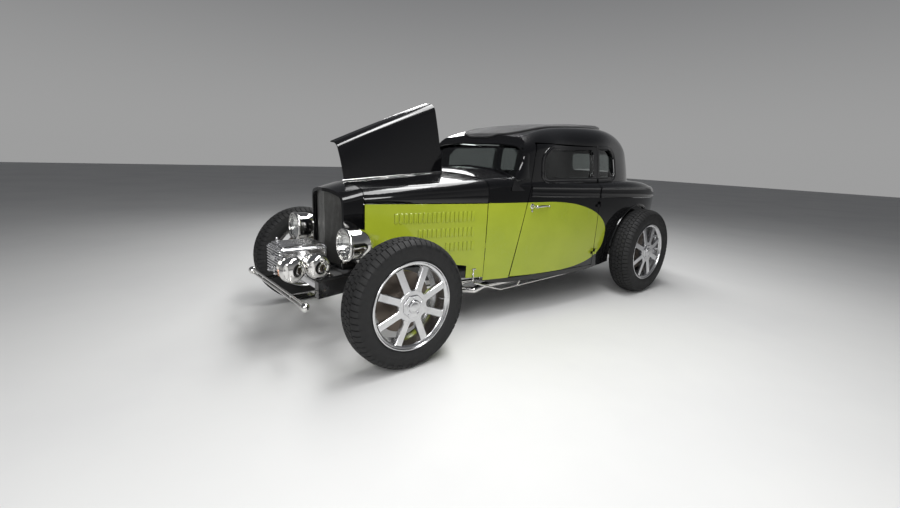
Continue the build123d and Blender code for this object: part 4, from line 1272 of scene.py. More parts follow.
def makeHeadLamps():
    p = lamp
    r = p["r"]
    for side in (1, -1):
        letter = sideLetter[side]
        bm = bmesh.new()
        profile = bowlProfile()
        # bowl, then a groove, the rim with its rounded nose and the inner lip
        profile += [(r - 0.0035, -0.019), (r - 0.0015, -0.0175), (r + 0.0015, -0.015),
                    (r + 0.0022, -0.009), (r + 0.0008, -0.003),
                    (r - 0.003, 0.0010), (r - 0.007, 0.0022), (r - 0.0105, 0.0012), (r - 0.012, -0.002),
                    (r - 0.0125, -0.010)]
        lathe(bm, profile, 72)
        # reflector inside
        inner = r - 0.0125
        cup = [(inner, -0.010)]
        for i in range(1, 13):
            t = i / 12
            cup.append((inner * (1 - t) ** 0.55 if t < 1 else 0.0005, -0.010 - 0.080 * t ** 0.9))
        lathe(bm, cup, 56, 1)
        # bulb with its cap
        lathe(bm, [(0.0005, -0.034), (0.005, -0.035), (0.008, -0.041), (0.008, -0.048), (0.005, -0.054),
                   (0.005, -0.088)], 20, 2)
        lathe(bm, [(0.0005, -0.029), (0.011, -0.031), (0.0125, -0.040), (0.0115, -0.041),
                   (0.0005, -0.033)], 20, 0)
        turn = lampPlace(side)
        bmesh.ops.transform(bm, matrix=turn, verts=bm.verts)
        # stalk with a collar at each end, clip under the rim, foot on the shell's side
        x, y, z = side * p["x"], atY(p["y"]), p["z"]
        foot = (side * 0.291, atY(-0.012), 0.506)
        start = (x, y + 0.088, z - 0.080)
        middle = (x - side * 0.010, y + 0.110, z - 0.135)
        low = (side * 0.330, atY(-0.050), 0.540)
        path = [start, middle, low, foot]
        smooth = []
        for i in range(19):
            t = i / 18
            q = [(1 - t) ** 3, 3 * t * (1 - t) ** 2, 3 * t * t * (1 - t), t ** 3]
            smooth.append(tuple(sum(w * c[k] for w, c in zip(q, path)) for k in range(3)))
        tubeAlong(bm, smooth, p["stalkR"], 14)
        collar = [Vector(start) + (Vector(smooth[1]) - Vector(start)) * k for k in (-0.2, 0.1, 0.9)]
        tubeAlong(bm, collar, [0.019, 0.021, 0.016], 18)
        boxOf(bm, (side * 0.291 - 0.020, atY(-0.030), 0.4945), (side * 0.291 + 0.020, atY(0.008), 0.512),
              0.003)
        for dy in (-0.024, 0.001):
            made = bmesh.ops.create_cone(bm, segments=6, radius1=0.006, radius2=0.005, depth=0.007,
                                         cap_ends=True)
            bmesh.ops.transform(bm, matrix=Matrix.Translation((side * 0.291, atY(dy), 0.5150)),
                                verts=made["verts"])
        boxOf(bm, (x - 0.009, y - 0.003, z - r - 0.009), (x + 0.009, y + 0.018, z - r + 0.004), 0.002)
        replaced = ["headlamps"] if side == 1 else []
        makeObject("head_lamp_" + letter, fromBmesh("head_lamp_" + letter, bm),
                   [brightPlate, brightPlate, darkPlasticAndPaintedShade], "root",
                   replaced, 40.0)
        makeLampGlass(letter, turn)


def makeLampGlass(letter, turn):
    # domed glass with upright ribs
    p = lamp
    bm = bmesh.new()
    rings = 14
    count = 96
    edge = p["r"] - 0.0115
    rows = []
    for i in range(rings + 1):
        out = edge * i / rings
        row = []
        for k in range(count):
            a = math.tau * k / count
            x, y = out * math.cos(a), out * math.sin(a)
            fade = 1.0 - (out / edge) ** 6
            rib = p["ribDeep"] * math.cos(math.pi * p["ribs"] * x / edge) * fade
            row.append((x, y, p["dome"] * (1 - (out / edge) ** 2) - 0.003 + rib))
        rows.append(row)
    layers = []
    for drop in (0.0, 0.004):
        made = [[bm.verts.new((q[0], q[1], q[2] - drop)) for q in row] for row in rows[1:]]
        centre = bm.verts.new((0, 0, rows[0][0][2] - drop))
        layers.append((made, centre))
        for a, b in zip(made, made[1:]):
            for k in range(count):
                bm.faces.new((a[k], a[(k + 1) % count], b[(k + 1) % count], b[k]))
        for k in range(count):
            bm.faces.new((centre, made[0][k], made[0][(k + 1) % count]))
    top, low = layers[0][0][-1], layers[1][0][-1]
    for k in range(count):
        bm.faces.new((top[k], low[k], low[(k + 1) % count], top[(k + 1) % count]))
    bmesh.ops.transform(bm, matrix=turn, verts=bm.verts)
    makeObject("lamp_glass_" + letter, fromBmesh("lamp_glass_" + letter, bm), lensGlass, "root",
               (), 40.0)


print("head lamps")
makeHeadLamps()


# blower ahead of the radiator: ribbed case, end plates, fittings, two round scoops and a pipe

blowerLook = {
    "half": 0.130,
    "front": -0.500,
    "rear": -0.196,
    "low": 0.472,
    "top": 0.652,
    "round": 0.024,
    "ribs": 8,
    "ribHigh": 0.016,
    "ribHalf": 0.0060,
    "fins": 9,
    "plateT": 0.014,
    "scoopR": 0.082,
    "scoopY": (-0.478, -0.312),
    "scoopZ": 0.545,
}


def roundedSection(half, low, high, corner, count):
    # (x, z) loop of a block with rounded upper corners, seen from the front
    points = [(half, low)]
    for i in range(count + 1):
        a = math.pi / 2 * i / count
        points.append((half - corner + corner * math.cos(a), high - corner + corner * math.sin(a)))
    for i in range(count + 1):
        a = math.pi / 2 * (1 + i / count)
        points.append((-half + corner + corner * math.cos(a), high - corner + corner * math.sin(a)))
    points.append((-half, low))
    return points


def loftLoops(bm, loops, material=0, caps=True):
    rings = [[bm.verts.new(p) for p in loop] for loop in loops]
    count = len(rings[0])
    for a, b in zip(rings, rings[1:]):
        for k in range(count):
            face = bm.faces.new((a[k], a[(k + 1) % count], b[(k + 1) % count], b[k]))
            face.material_index = material
    if caps:
        for ring in (rings[0], rings[-1]):
            face = bm.faces.new(ring)
            face.material_index = material
    return rings


def blowerCase(bm):
    w = blowerLook
    section = roundedSection(w["half"] - 0.006, w["low"], w["top"], w["round"], 8)
    # case body between the ribs in the darker cast finish: painted shade for the dark gaps between the
    # polished ribs
    loftLoops(bm, [[(x, atY(y), z) for x, z in section] for y in (w["front"] + 0.012, w["rear"] - 0.012)],
              1)
    # end plates with a stepped edge
    for y, way in ((w["front"], 1), (w["rear"], -1)):
        loops = []
        for grow, push in ((-0.006, 0.0), (0.0, 0.003), (0.0, w["plateT"] - 0.002), (-0.003, w["plateT"])):
            outer = roundedSection(w["half"] + grow, w["low"] - 0.002 - grow, w["top"] + 0.004 + grow,
                                   w["round"] + grow, 8)
            loops.append([(x, atY(y + way * push), z) for x, z in outer])
        loftLoops(bm, loops)
    # lengthwise ribs over the top and the upper sides
    for i in range(w["ribs"]):
        x = -w["half"] + 0.036 + (2 * w["half"] - 0.072) * i / (w["ribs"] - 1)
        boxOf(bm, (x - w["ribHalf"], atY(w["front"] + 0.016), w["top"] - 0.004),
              (x + w["ribHalf"], atY(w["rear"] - 0.016), w["top"] + w["ribHigh"]), 0.0022)
    for side in (1, -1):
        for k in range(4):
            z = w["top"] - 0.062 - 0.026 * k
            x0, x1 = sorted((side * (w["half"] - 0.010), side * (w["half"] + 0.004)))
            boxOf(bm, (x0, atY(w["front"] + 0.018), z - 0.005), (x1, atY(w["rear"] - 0.018), z + 0.005),
                  0.002)


def blowerFront(bm):
    # front plate: fins, gear cover with its cap, cross fittings and bolts
    w = blowerLook
    y = atY(w["front"])
    for k in range(w["fins"]):
        z = w["low"] + 0.014 + (w["top"] - w["low"] - 0.030) * k / (w["fins"] - 1)
        boxOf(bm, (-w["half"] + 0.012, y - 0.012, z - 0.0035), (w["half"] - 0.012, y + 0.004, z + 0.0035),
              0.0015)
    turn = turnedAt((0.0, y, 0.590), 90, "X")
    made = lathe(bm, [(0.030, -0.002), (0.030, 0.009), (0.026, 0.014), (0.018, 0.016), (0.016, 0.024),
                      (0.0005, 0.026)], 36)
    moveFaces(bm, made, turn)
    turn = turnedAt((0.0, y, 0.512), 90, "X")
    made = lathe(bm, [(0.026, -0.002), (0.026, 0.008), (0.021, 0.012), (0.012, 0.013), (0.011, 0.022),
                      (0.0005, 0.023)], 36)
    moveFaces(bm, made, turn)
    outline = roundedSection(w["half"] - 0.011, w["low"] + 0.010, w["top"] - 0.008, w["round"] - 0.012, 4)
    path = evenPath([Vector(p) for p in outline], 0.052)
    for p in path:
        made = bmesh.ops.create_cone(bm, segments=6, radius1=0.0062, radius2=0.0055, depth=0.007,
                                     cap_ends=True)
        place = turnedAt((p.x, y - 0.002, p.y), 90, "X")
        bmesh.ops.transform(bm, matrix=place, verts=made["verts"])


def blowerFittings(bm):
    # two banjo fittings on the front plate, a relief valve on the right end of the top
    w = blowerLook
    for x, z in ((-0.060, 0.486), (0.060, 0.486)):
        made = lathe(bm, [(0.0005, 0.030), (0.006, 0.030), (0.007, 0.024), (0.011, 0.023), (0.011, 0.016),
                          (0.008, 0.015),
                          (0.008, 0.007), (0.012, 0.006), (0.012, -0.002)], 20)
        place = turnedAt((x, atY(w["front"]), z), 90, "X")
        moveFaces(bm, made, place)
    made = lathe(bm, [(0.0005, 0.034), (0.007, 0.033), (0.010, 0.026), (0.010, 0.010), (0.014, 0.008),
                      (0.014, -0.010)], 24)
    moveFaces(bm, made, Matrix.Translation((-0.078, atY(-0.455), w["top"] + 0.012)))
    # cross plate to the frame rails
    boxOf(bm, (-0.2338, atY(-0.330), 0.400), (0.2338, atY(-0.300), 0.449), 0.003)
    boxOf(bm, (-0.100, atY(-0.330), 0.440), (0.100, atY(-0.300), 0.480), 0.003)


def makeBlower():
    bm = bmesh.new()
    blowerCase(bm)
    blowerFront(bm)
    blowerFittings(bm)
    # the darker second finish on the case body is painted shade between the ribs
    makeObject("blower_case", fromBmesh("blower_case", bm), [polishedAlloy, castAlloyAndPaintedShade], "root",
               ["blower"], 35.0)


def makeScoops():
    # each scoop: flange on the blower's left side, horn, and a round dome with a tall mouth whose opening
    # is a flat sheet of painted shade
    w = blowerLook
    bm = bmesh.new()
    r = w["scoopR"]
    for y in w["scoopY"]:
        place = turnedAt((w["half"] + 0.002, atY(y), w["scoopZ"]), 90, "Y")
        profile = [(0.0005, 0.0), (0.058, 0.0), (0.058, 0.007), (0.052, 0.009), (0.052, 0.020),
                   (0.058, 0.050), (0.066, 0.080),
                   (r - 0.004, 0.104), (r - 0.001, 0.108), (r, 0.112), (r, 0.120), (r - 0.002, 0.124)]
        steps = 14
        for i in range(1, steps + 1):
            a = math.pi / 2 * i / steps
            profile.append((max((r - 0.002) * math.cos(a), 0.0005), 0.124 + 0.040 * math.sin(a)))
        made = lathe(bm, profile, 64)
        verts = list({v for f in made for v in f.verts})
        bmesh.ops.transform(bm, matrix=place, verts=verts)
        # mouth: a bright lip round a flat dark sheet, painted shade that stands in for the open mouth, set
        # on the dome's front half
        mouth = turnedAt((w["half"] + 0.155, atY(y) - 0.052, w["scoopZ"]), -36, "Z")
        lip = []
        for k in range(48):
            a = math.tau * k / 48
            lip.append(mouth @ Vector((0.0, 0.0145 * math.cos(a), 0.047 * math.sin(a))))
        tubeAlong(bm, lip, 0.0034, 10, closed=True)
        dark = [bm.verts.new(mouth @ Vector((0.001, 0.0140 * math.cos(math.tau * k / 48),
                                             0.046 * math.sin(math.tau * k / 48)))) for k in range(48)]
        face = bm.faces.new(dark)
        face.material_index = 1
    makeObject("intake_scoops", fromBmesh("intake_scoops", bm), [brightPlate, darkPlasticAndPaintedShade], "root",
               ["intakes"], 40.0)


def makeCopperPipe():
    # short bent pipe in front of the scoops
    w = blowerLook
    bm = bmesh.new()
    z = 0.512
    path = [(0.118, atY(w["front"]) - 0.018, z + 0.002), (0.150, atY(w["front"]) - 0.030, z),
            (0.190, atY(w["front"]) - 0.042, z - 0.002),
            (0.216, atY(w["front"]) - 0.036, z - 0.004), (0.222, atY(w["front"]) - 0.014, z - 0.010)]
    tubeAlong(bm, [Vector(p) for p in path], 0.0065, 12)
    for p in (path[0], path[-1]):
        ballAt(bm, p, 0.0105, 2)
    for k in range(3):
        y = atY(w["front"]) - 0.008
        ballAt(bm, (0.108 + 0.008 * k, y - 0.006 * k, z + 0.001), 0.010 - 0.001 * k, 2)
    makeObject("copper_pipe", fromBmesh("copper_pipe", bm), copperPipe, "root", (), 40.0)


print("blower")
makeBlower()
makeScoops()
makeCopperPipe()


# bench seat: two cushions blown up by a short cloth run, channels and welts sewn in afterwards

seat = {
    "half": 0.528,
    "front": 1.752,
    "rear": 2.165,
    "low": 0.482,
    "top": 0.668,
    "backHalf": 0.520,
    "backLow": 0.640,
    "backTop": 1.058,
    "voxel": 0.014,
    "pressure": 4.0,
    "frames": 20,
    "cap": 0.015,
    "channel": 0.088,
    "channelDeep": 0.0075,
    "channelWide": 0.011,
    "weltR": 0.0055,
}


def cushionMesh(name, loops):
    # closed form through loops of equal count, remeshed to even quads
    bm = bmesh.new()
    loftLoops(bm, loops)
    bmesh.ops.recalc_face_normals(bm, faces=bm.faces)
    rough = bpy.data.meshes.new(name + "Rough")
    bm.to_mesh(rough)
    bm.free()
    holder = bpy.data.objects.new(name + "Rough", rough)
    bpy.context.scene.collection.objects.link(holder)
    remesh = holder.modifiers.new("Remesh", "REMESH")
    remesh.mode = "VOXEL"
    remesh.voxel_size = seat["voxel"]
    view = bpy.context.evaluated_depsgraph_get()
    even = bpy.data.meshes.new_from_object(holder.evaluated_get(view))
    bpy.data.objects.remove(holder)
    return even


def blowUp(name, mesh):
    # cloth with air inside, weightless, for a few frames; no point moves further than the cap
    before = [v.co.copy() for v in mesh.vertices]
    holder = bpy.data.objects.new(name + "Cloth", mesh)
    bpy.context.scene.collection.objects.link(holder)
    cloth = holder.modifiers.new("Cloth", "CLOTH")
    cloth.settings.use_pressure = True
    cloth.settings.uniform_pressure_force = seat["pressure"]
    cloth.settings.effector_weights.gravity = 0.0
    cloth.settings.quality = 5
    scene = bpy.context.scene
    cloth.point_cache.frame_start = 1
    cloth.point_cache.frame_end = seat["frames"]
    for step in range(1, seat["frames"] + 1):
        scene.frame_set(step)
    view = bpy.context.evaluated_depsgraph_get()
    blown = bpy.data.meshes.new_from_object(holder.evaluated_get(view))
    for v, old in zip(blown.vertices, before):
        moved = v.co - old
        if moved.length > seat["cap"]:
            v.co = old + moved.normalized() * seat["cap"]
    bpy.data.objects.remove(holder)
    scene.frame_set(1)
    return blown


def sewChannels(mesh, upright):
    # grooves that run fore and aft over the face that is sat on or leant on, fading at the rolls
    s = seat
    normals = [v.normal.copy() for v in mesh.vertices]
    for v, normal in zip(mesh.vertices, normals):
        facing = -normal.y if upright else normal.z
        share = min(max((facing - 0.25) / 0.5, 0.0), 1.0)
        edge = min(max((s["half"] - 0.055 - abs(v.co.x)) / 0.03, 0.0), 1.0)
        near = abs((v.co.x / s["channel"] + 0.5) % 1.0 - 0.5) * s["channel"]
        v.co -= normal * (s["channelDeep"] * math.exp(-(near / s["channelWide"]) ** 2) * share * edge)


def roundedRectangle(halfWide, halfDeep, corner, count=6):
    points = []
    for quarter in range(4):
        cx = (halfWide - corner) * (1 if quarter in (0, 3) else -1)
        cy = (halfDeep - corner) * (1 if quarter in (0, 1) else -1)
        for i in range(count + 1):
            a = math.pi / 2 * (quarter + i / count)
            points.append((cx + corner * math.cos(a), cy + corner * math.sin(a)))
    return points


def makeSeatCushion():
    s = seat
    middleY = atY((s["front"] + s["rear"]) / 2)
    deep = (s["rear"] - s["front"]) / 2
    loops = []
    for z, shrink in ((s["low"], 0.030), (s["low"] + 0.03, 0.010), (s["top"] - 0.055, 0.006),
                      (s["top"] - 0.020, 0.020), (s["top"], 0.055)):
        loops.append([(x, middleY + y, z) for x,
                      y in roundedRectangle(s["half"] - shrink, deep - shrink, 0.05)])
    mesh = cushionMesh("seatCushion", loops)
    mesh = blowUp("seatCushion", mesh)
    for v in mesh.vertices:
        v.co.z = max(v.co.z, 0.4765)
        v.co.y = min(v.co.y, atY(2.196))
        v.co.x = min(max(v.co.x, -0.538), 0.538)
    sewChannels(mesh, False)
    piece = makeObject("seat_cushion", mesh, seatHide, "root", ["seat"], 60.0)
    piece.modifiers.new("Subdivision", "SUBSURF").levels = 1
    piece.modifiers["Subdivision"].render_levels = 1


def backPlace(z):
    # front and rear face of the backrest at a height
    t = (z - seat["backLow"]) / (seat["backTop"] - seat["backLow"])
    return 2.118 + 0.052 * t, 2.298 - 0.060 * t


def makeBackrest():
    s = seat
    loops = []
    for z, shrink in ((s["backLow"] + 0.030, 0.020), (0.72, 0.006), (0.88, 0.004), (0.99, 0.010),
                      (1.035, 0.026), (s["backTop"], 0.052)):
        front, rear = backPlace(z)
        middleY = atY((front + rear) / 2)
        deep = (rear - front) / 2
        loops.append([(x, middleY + y, z) for x,
                      y in roundedRectangle(s["backHalf"] - shrink, deep - shrink * 0.8,
                                            min(0.036, deep * 0.6))])
    mesh = cushionMesh("backrest", loops)
    mesh = blowUp("backrest", mesh)
    for v in mesh.vertices:
        v.co.x = min(max(v.co.x, -0.532), 0.532)
    sewChannels(mesh, True)
    piece = makeObject("seat_backrest", mesh, seatHide, "root", (), 60.0)
    piece.modifiers.new("Subdivision", "SUBSURF").levels = 1
    piece.modifiers["Subdivision"].render_levels = 1


def makeSeatWelts():
    # piping along the cushion's upper edge, open at the back
    s = seat
    bm = bmesh.new()
    middleY = (s["front"] + s["rear"]) / 2
    deep = (s["rear"] - s["front"]) / 2
    half = s["half"] + 0.001
    loop = roundedRectangle(half, deep + 0.002, 0.058, 8)
    run = [(-half, deep * 0.7)] + loop[18:] + [(half, deep * 0.7)]
    tubeAlong(bm, [(x, atY(middleY + y), s["top"] - 0.032) for x, y in run], s["weltR"], 8)
    makeObject("seat_welts", fromBmesh("seat_welts", bm), seatHide, "root", (), 60.0)


print("seat")
makeSeatCushion()
makeBackrest()
makeSeatWelts()


# inside: dials on the dashboard, steering wheel, pedals

inside = {
    "wheelCentre": (0.300, 1.530, 0.985),
    "columnFoot": (0.300, 0.922, 0.770),
    "rimR": 0.190,
    "rimHalf": 0.0125,
    "dials": (
        # across, height, radius
        (0.255, 1.012, 0.046), (0.365, 1.012, 0.046), (0.310, 0.962, 0.020), (0.000, 1.005, 0.030),
        (-0.085, 1.005, 0.030),
        (0.085, 1.005, 0.030),
    ),
    "dashRear": 1.2985,
}


def makeDials():
    bm = bmesh.new()
    lean = math.atan2(0.010, 0.130)
    for x, z, r in inside["dials"]:
        y = inside["dashRear"] - (1.060 - z) * math.tan(lean)
        place = Matrix.Translation((x, atY(y), z)) @ Matrix.Rotation(math.radians(-90) + lean, 4, "X")
        verts = []
        for faces in (
            lathe(bm, [(r + 0.004, -0.001), (r + 0.004, 0.005), (r + 0.001, 0.0075), (r - 0.003, 0.006),
                       (r - 0.004, 0.002)], 40, 0),
            lathe(bm, [(r - 0.003, 0.0022), (0.0005, 0.0022)], 40, 1),
        ):
            verts += list({v for f in faces for v in f.verts})
        for k in range(21):
            a = math.radians(225 - 270 * k / 20)
            long = 0.16 if k % 5 == 0 else 0.09
            mark = boxOf(bm, (r * (0.84 - long), -0.0006, 0.0021), (r * 0.84, 0.0006, 0.0029), 0.0,
                         Matrix.Rotation(a, 4, "Z"), 2)
            verts += mark
        hand = boxOf(bm, (-r * 0.18, -0.0009, 0.0030), (r * 0.66, 0.0009, 0.0038), 0.0,
                     Matrix.Rotation(math.radians(205), 4, "Z"), 3)
        verts += hand
        cap = bmesh.ops.create_cone(bm, segments=16, radius1=r * 0.10, radius2=r * 0.08, depth=0.003,
                                    cap_ends=True)["verts"]
        bmesh.ops.transform(bm, matrix=Matrix.Translation((0, 0, 0.0045)), verts=cap)
        verts += cap
        bmesh.ops.transform(bm, matrix=place, verts=list(set(verts)))
    makeObject("dash_dials", fromBmesh("dash_dials", bm), [brightPlate, dialFace, darkPlasticAndPaintedShade, redLens],
               "root", (), 40.0)


def makeSteeringWheel():
    w = inside
    centre = Vector((w["wheelCentre"][0], atY(w["wheelCentre"][1]), w["wheelCentre"][2]))
    foot = Vector((w["columnFoot"][0], atY(w["columnFoot"][1]), w["columnFoot"][2]))
    way = (centre - foot).normalized()
    turn = Matrix.Translation(centre) @ way.to_track_quat("Z", "Y").to_matrix().to_4x4()
    bm = bmesh.new()
    # rim with finger grips on its inner side
    count = 120
    rings = []
    for i in range(count):
        a = math.tau * i / count
        grip = 0.0009 * math.cos(40 * a)
        ring = []
        for k in range(14):
            b = math.tau * k / 14
            size = w["rimHalf"] + (grip if math.cos(b) < 0 else 0.0)
            out = w["rimR"] + size * math.cos(b)
            ring.append(bm.verts.new((out * math.cos(a), out * math.sin(a), size * math.sin(b))))
        rings.append(ring)
    for i in range(count):
        a, b = rings[i], rings[(i + 1) % count]
        for k in range(14):
            bm.faces.new((a[k], a[(k + 1) % 14], b[(k + 1) % 14], b[k]))
    # three sprung spokes of four rods each
    for angle in (90, 210, 330):
        for offset in (-0.012, -0.004, 0.004, 0.012):
            points = []
            for i in range(7):
                t = i / 6
                reach = 0.030 + (w["rimR"] - 0.036) * t
                points.append(Matrix.Rotation(math.radians(angle), 4,
                                              "Z") @ Vector((reach, offset * (1 + 0.4 * t),
                                                  -0.004 + 0.003 * t)))
            tubeAlong(bm, points, 0.0019, 8, material=1)
    made = lathe(bm, [(0.0145, -0.012), (0.034, -0.010), (0.036, -0.002), (0.035, 0.006), (0.028, 0.011),
                      (0.026, 0.013), (0.018, 0.0155),
                      (0.0005, 0.017)], 48)
    made += lathe(bm, [(0.0285, 0.0100), (0.0295, 0.0125), (0.0265, 0.0145), (0.025, 0.0125)], 48, 1)
    made += lathe(bm, [(0.014, -0.030), (0.014, -0.008)], 24, 1)
    bmesh.ops.transform(bm, matrix=turn, verts=bm.verts)
    makeObject("hand_wheel", fromBmesh("hand_wheel", bm), [darkPlasticAndPaintedShade, brightPlate],
               "steering_hand_wheel",
               ["steering_wheel"], 40.0)


def makePedals():
    bm = bmesh.new()
    for x, z, wide, high in ((0.225, 0.640, 0.030, 0.040), (0.315, 0.640, 0.030, 0.040),
                             (0.405, 0.615, 0.022, 0.075)):
        y = atY(1.010)
        lean = turnedAt((x, y, z), -28, "X")
        boxOf(bm, (-wide, -0.004, -high), (wide, 0.004, high), 0.003, lean)
        for k in range(5):
            zz = -high * 0.7 + high * 1.4 * k / 4
            boxOf(bm, (-wide * 0.8, 0.003, zz - 0.002), (wide * 0.8, 0.0065, zz + 0.002), 0.001, lean, 1)
        path = [Vector((x, y - 0.004, z)), Vector((x, y - 0.060, z + 0.020)),
                Vector((x, y - 0.110, z + 0.045)), Vector((x, atY(0.8665), z + 0.060))]
        tubeAlong(bm, path, 0.007, 10)
        boxOf(bm, (x - 0.018, atY(0.9135), z + 0.035), (x + 0.018, atY(0.922), z + 0.085), 0.002)
    makeObject("pedals", fromBmesh("pedals", bm), [brightPlate, darkPlasticAndPaintedShade], "root", (), 40.0)


print("inside")
makeDials()
makeSteeringWheel()
makePedals()


# engine dressing about the plain block: covers, air cleaner, pulleys, fan, hoses and leads

engineLook = {
    "coverX": 0.128,
    "coverHalf": 0.042,
    "coverFrom": 0.170,
    "coverTo": 0.690,
    "coverLow": 0.872,
    "coverHigh": 0.925,
    "lean": 28.0,
    "cleanerY": 0.420,
    "cleanerR": 0.118,
    "cleanerLow": 0.948,
    "cleanerHigh": 1.004,
    "pulleyY": 0.082,
    "fanR": 0.185,
    "fanZ": 0.690,
    "plugs": 4,
}


def valveCover(bm, side):
    e = engineLook
    turn = (Matrix.Translation((side * e["coverX"], atY(0.0),
                                0.880)) @ Matrix.Rotation(math.radians(side * e["lean"]), 4, "Y"))
    loops = []
    for y, shrink in ((e["coverFrom"], 0.008), (e["coverFrom"] + 0.006, 0.0), (e["coverTo"] - 0.006, 0.0),
                      (e["coverTo"], 0.008)):
        section = roundedSection(e["coverHalf"] - shrink, 0.0, e["coverHigh"] - e["coverLow"] - shrink,
                                 0.020, 6)
        loops.append([turn @ Vector((x, y, z)) for x, z in section])
    loftLoops(bm, loops, 0)
    for k in range(7):
        x = -0.024 + 0.008 * k
        boxOf(bm, (x - 0.0018, e["coverFrom"] + 0.030, 0.050), (x + 0.0018, e["coverTo"] - 0.030, 0.0565),
              0.001, turn, 0)
    boxOf(bm, (-e["coverHalf"] - 0.008, e["coverFrom"] - 0.004, -0.010),
          (e["coverHalf"] + 0.008, e["coverTo"] + 0.004, 0.003), 0.002, turn, 1)
    for k in range(4):
        y = e["coverFrom"] + 0.060 + (e["coverTo"] - e["coverFrom"] - 0.120) * k / 3
        made = lathe(bm, [(0.0005, 0.070), (0.006, 0.069), (0.0075, 0.062), (0.0105, 0.056),
                          (0.0105, 0.048)], 14, 0)
        moveFaces(bm, made, turn @ Matrix.Translation((0, y, 0)))


def makeValveCovers():
    bm = bmesh.new()
    for side in (1, -1):
        valveCover(bm, side)
    makeObject("valve_covers", fromBmesh("valve_covers", bm), [polishedAlloy, engineBlack], "root",
               (), 35.0)


def makeAirCleaner():
    # two stacked carburettors under a round finned cleaner
    e = engineLook
    bm = bmesh.new()
    for y in (0.330, 0.510):
        boxOf(bm, (-0.045, atY(y) - 0.040, 0.892), (0.045, atY(y) + 0.040, 0.930), 0.006, None, 1)
        made = lathe(bm, [(0.0005, 0.925), (0.034, 0.925), (0.034, 0.950), (0.0005, 0.950)], 32, 1)
        moveFaces(bm, made, Matrix.Translation((0, atY(y), 0)))
    r = e["cleanerR"]
    low, high = e["cleanerLow"], e["cleanerHigh"]
    profile = [(0.0005, low), (r - 0.010, low), (r, low + 0.003), (r, low + 0.008),
               (r - 0.006, low + 0.010)]
    fins = 5
    for k in range(fins):
        z = low + 0.012 + (high - low - 0.024) * k / (fins - 1)
        profile += [(r - 0.010, z - 0.003), (r - 0.004, z - 0.001), (r - 0.004, z + 0.001),
                    (r - 0.010, z + 0.003)]
    profile += [(r - 0.006, high - 0.010), (r, high - 0.008), (r, high - 0.003), (r - 0.010, high),
                (0.040, high + 0.004), (0.012, high + 0.004),
                (0.011, high + 0.014), (0.0005, high + 0.015)]
    made = lathe(bm, profile, 72, 0)
    moveFaces(bm, made, Matrix.Translation((0, atY(e["cleanerY"]), 0)))
    makeObject("air_cleaner", fromBmesh("air_cleaner", bm), [brightPlate, castAlloyAndPaintedShade], "root",
               (), 35.0)


def pulley(bm, x, z, r, y, deep, material=0):
    made = lathe(bm, [(0.0005, 0.004), (r * 0.35, 0.004), (r * 0.40, 0.0), (r * 0.82, -0.002),
                      (r * 0.86, 0.002), (r, 0.002), (r * 0.93, -deep * 0.28),
                      (r * 0.93, -deep * 0.72), (r, -deep), (0.0005, -deep)], 40, material)
    place = turnedAt((x, atY(y), z), 90, "X")
    moveFaces(bm, made, place)


def makePulleys():
    e = engineLook
    bm = bmesh.new()
    y = e["pulleyY"]
    wheels = ((0.0, 0.520, 0.078), (0.0, 0.690, 0.060), (0.150, 0.760, 0.036))
    for x, z, r in wheels:
        pulley(bm, x, z, r, y, 0.026)
    # belt round the three pulleys
    hull = []
    for x, z, r in wheels:
        for k in range(24):
            a = math.tau * k / 24
            hull.append((x + (r * 0.96) * math.cos(a), z + (r * 0.96) * math.sin(a)))
    belt = convexLoop(hull)
    path = evenPath([Vector(p) for p in belt], 0.012, closed=True)
    tubeAlong(bm, [(p.x, atY(y) + 0.013, p.y) for p in path], 0.0062, 6, closed=True, material=1)
    # fan in front, fixed on the upper pulley
    for k in range(6):
        turn = (Matrix.Translation((0.0, atY(y) - 0.020, e["fanZ"])) @ Matrix.Rotation(math.tau * k / 6,
            4, "Y")
                @ Matrix.Rotation(math.radians(24), 4, "Z"))
        boxOf(bm, (-0.028, -0.0012, 0.040), (0.028, 0.0012, e["fanR"]), 0.0008, turn, 0)
    pulley(bm, 0.0, e["fanZ"], 0.044, y - 0.012, 0.016)
    for x, z, r in wheels:
        made = lathe(bm, [(r * 0.4, -0.024), (r * 0.4, -0.060)], 20, 2)
        place = turnedAt((x, atY(y), z), 90, "X")
        moveFaces(bm, made, place)
    makeObject("engine_front", fromBmesh("engine_front", bm), [polishedAlloy, darkPlasticAndPaintedShade, castAlloyAndPaintedShade],
               "root", (), 35.0)


def convexLoop(points):
    # outer loop of a flat cloud of points
    ordered = sorted(points)
    halves = []
    for run in (ordered, list(reversed(ordered))):
        chain = []
        for p in run:
            while len(chain) > 1:
                (ax, ay), (bx, by) = chain[-2], chain[-1]
                if (bx - ax) * (p[1] - ay) - (by - ay) * (p[0] - ax) > 0:
                    break
                chain.pop()
            chain.append(p)
        halves.append(chain[:-1])
    return halves[0] + halves[1]


def curveThrough(points, count):
    # smooth run through a few points
    spots = [Vector(p) for p in points]
    spots = [spots[0] * 2 - spots[1]] + spots + [spots[-1] * 2 - spots[-2]]
    made = []
    for i in range(1, len(spots) - 2):
        a, b, c, d = spots[i - 1:i + 3]
        for k in range(count):
            t = k / count
            made.append(0.5 * ((2 * b) + (c - a) * t + (2 * a - 5 * b + 4 * c - d) * t * t
                               + (3 * b - a - 3 * c + d) * t ** 3))
    made.append(spots[-2])
    return made


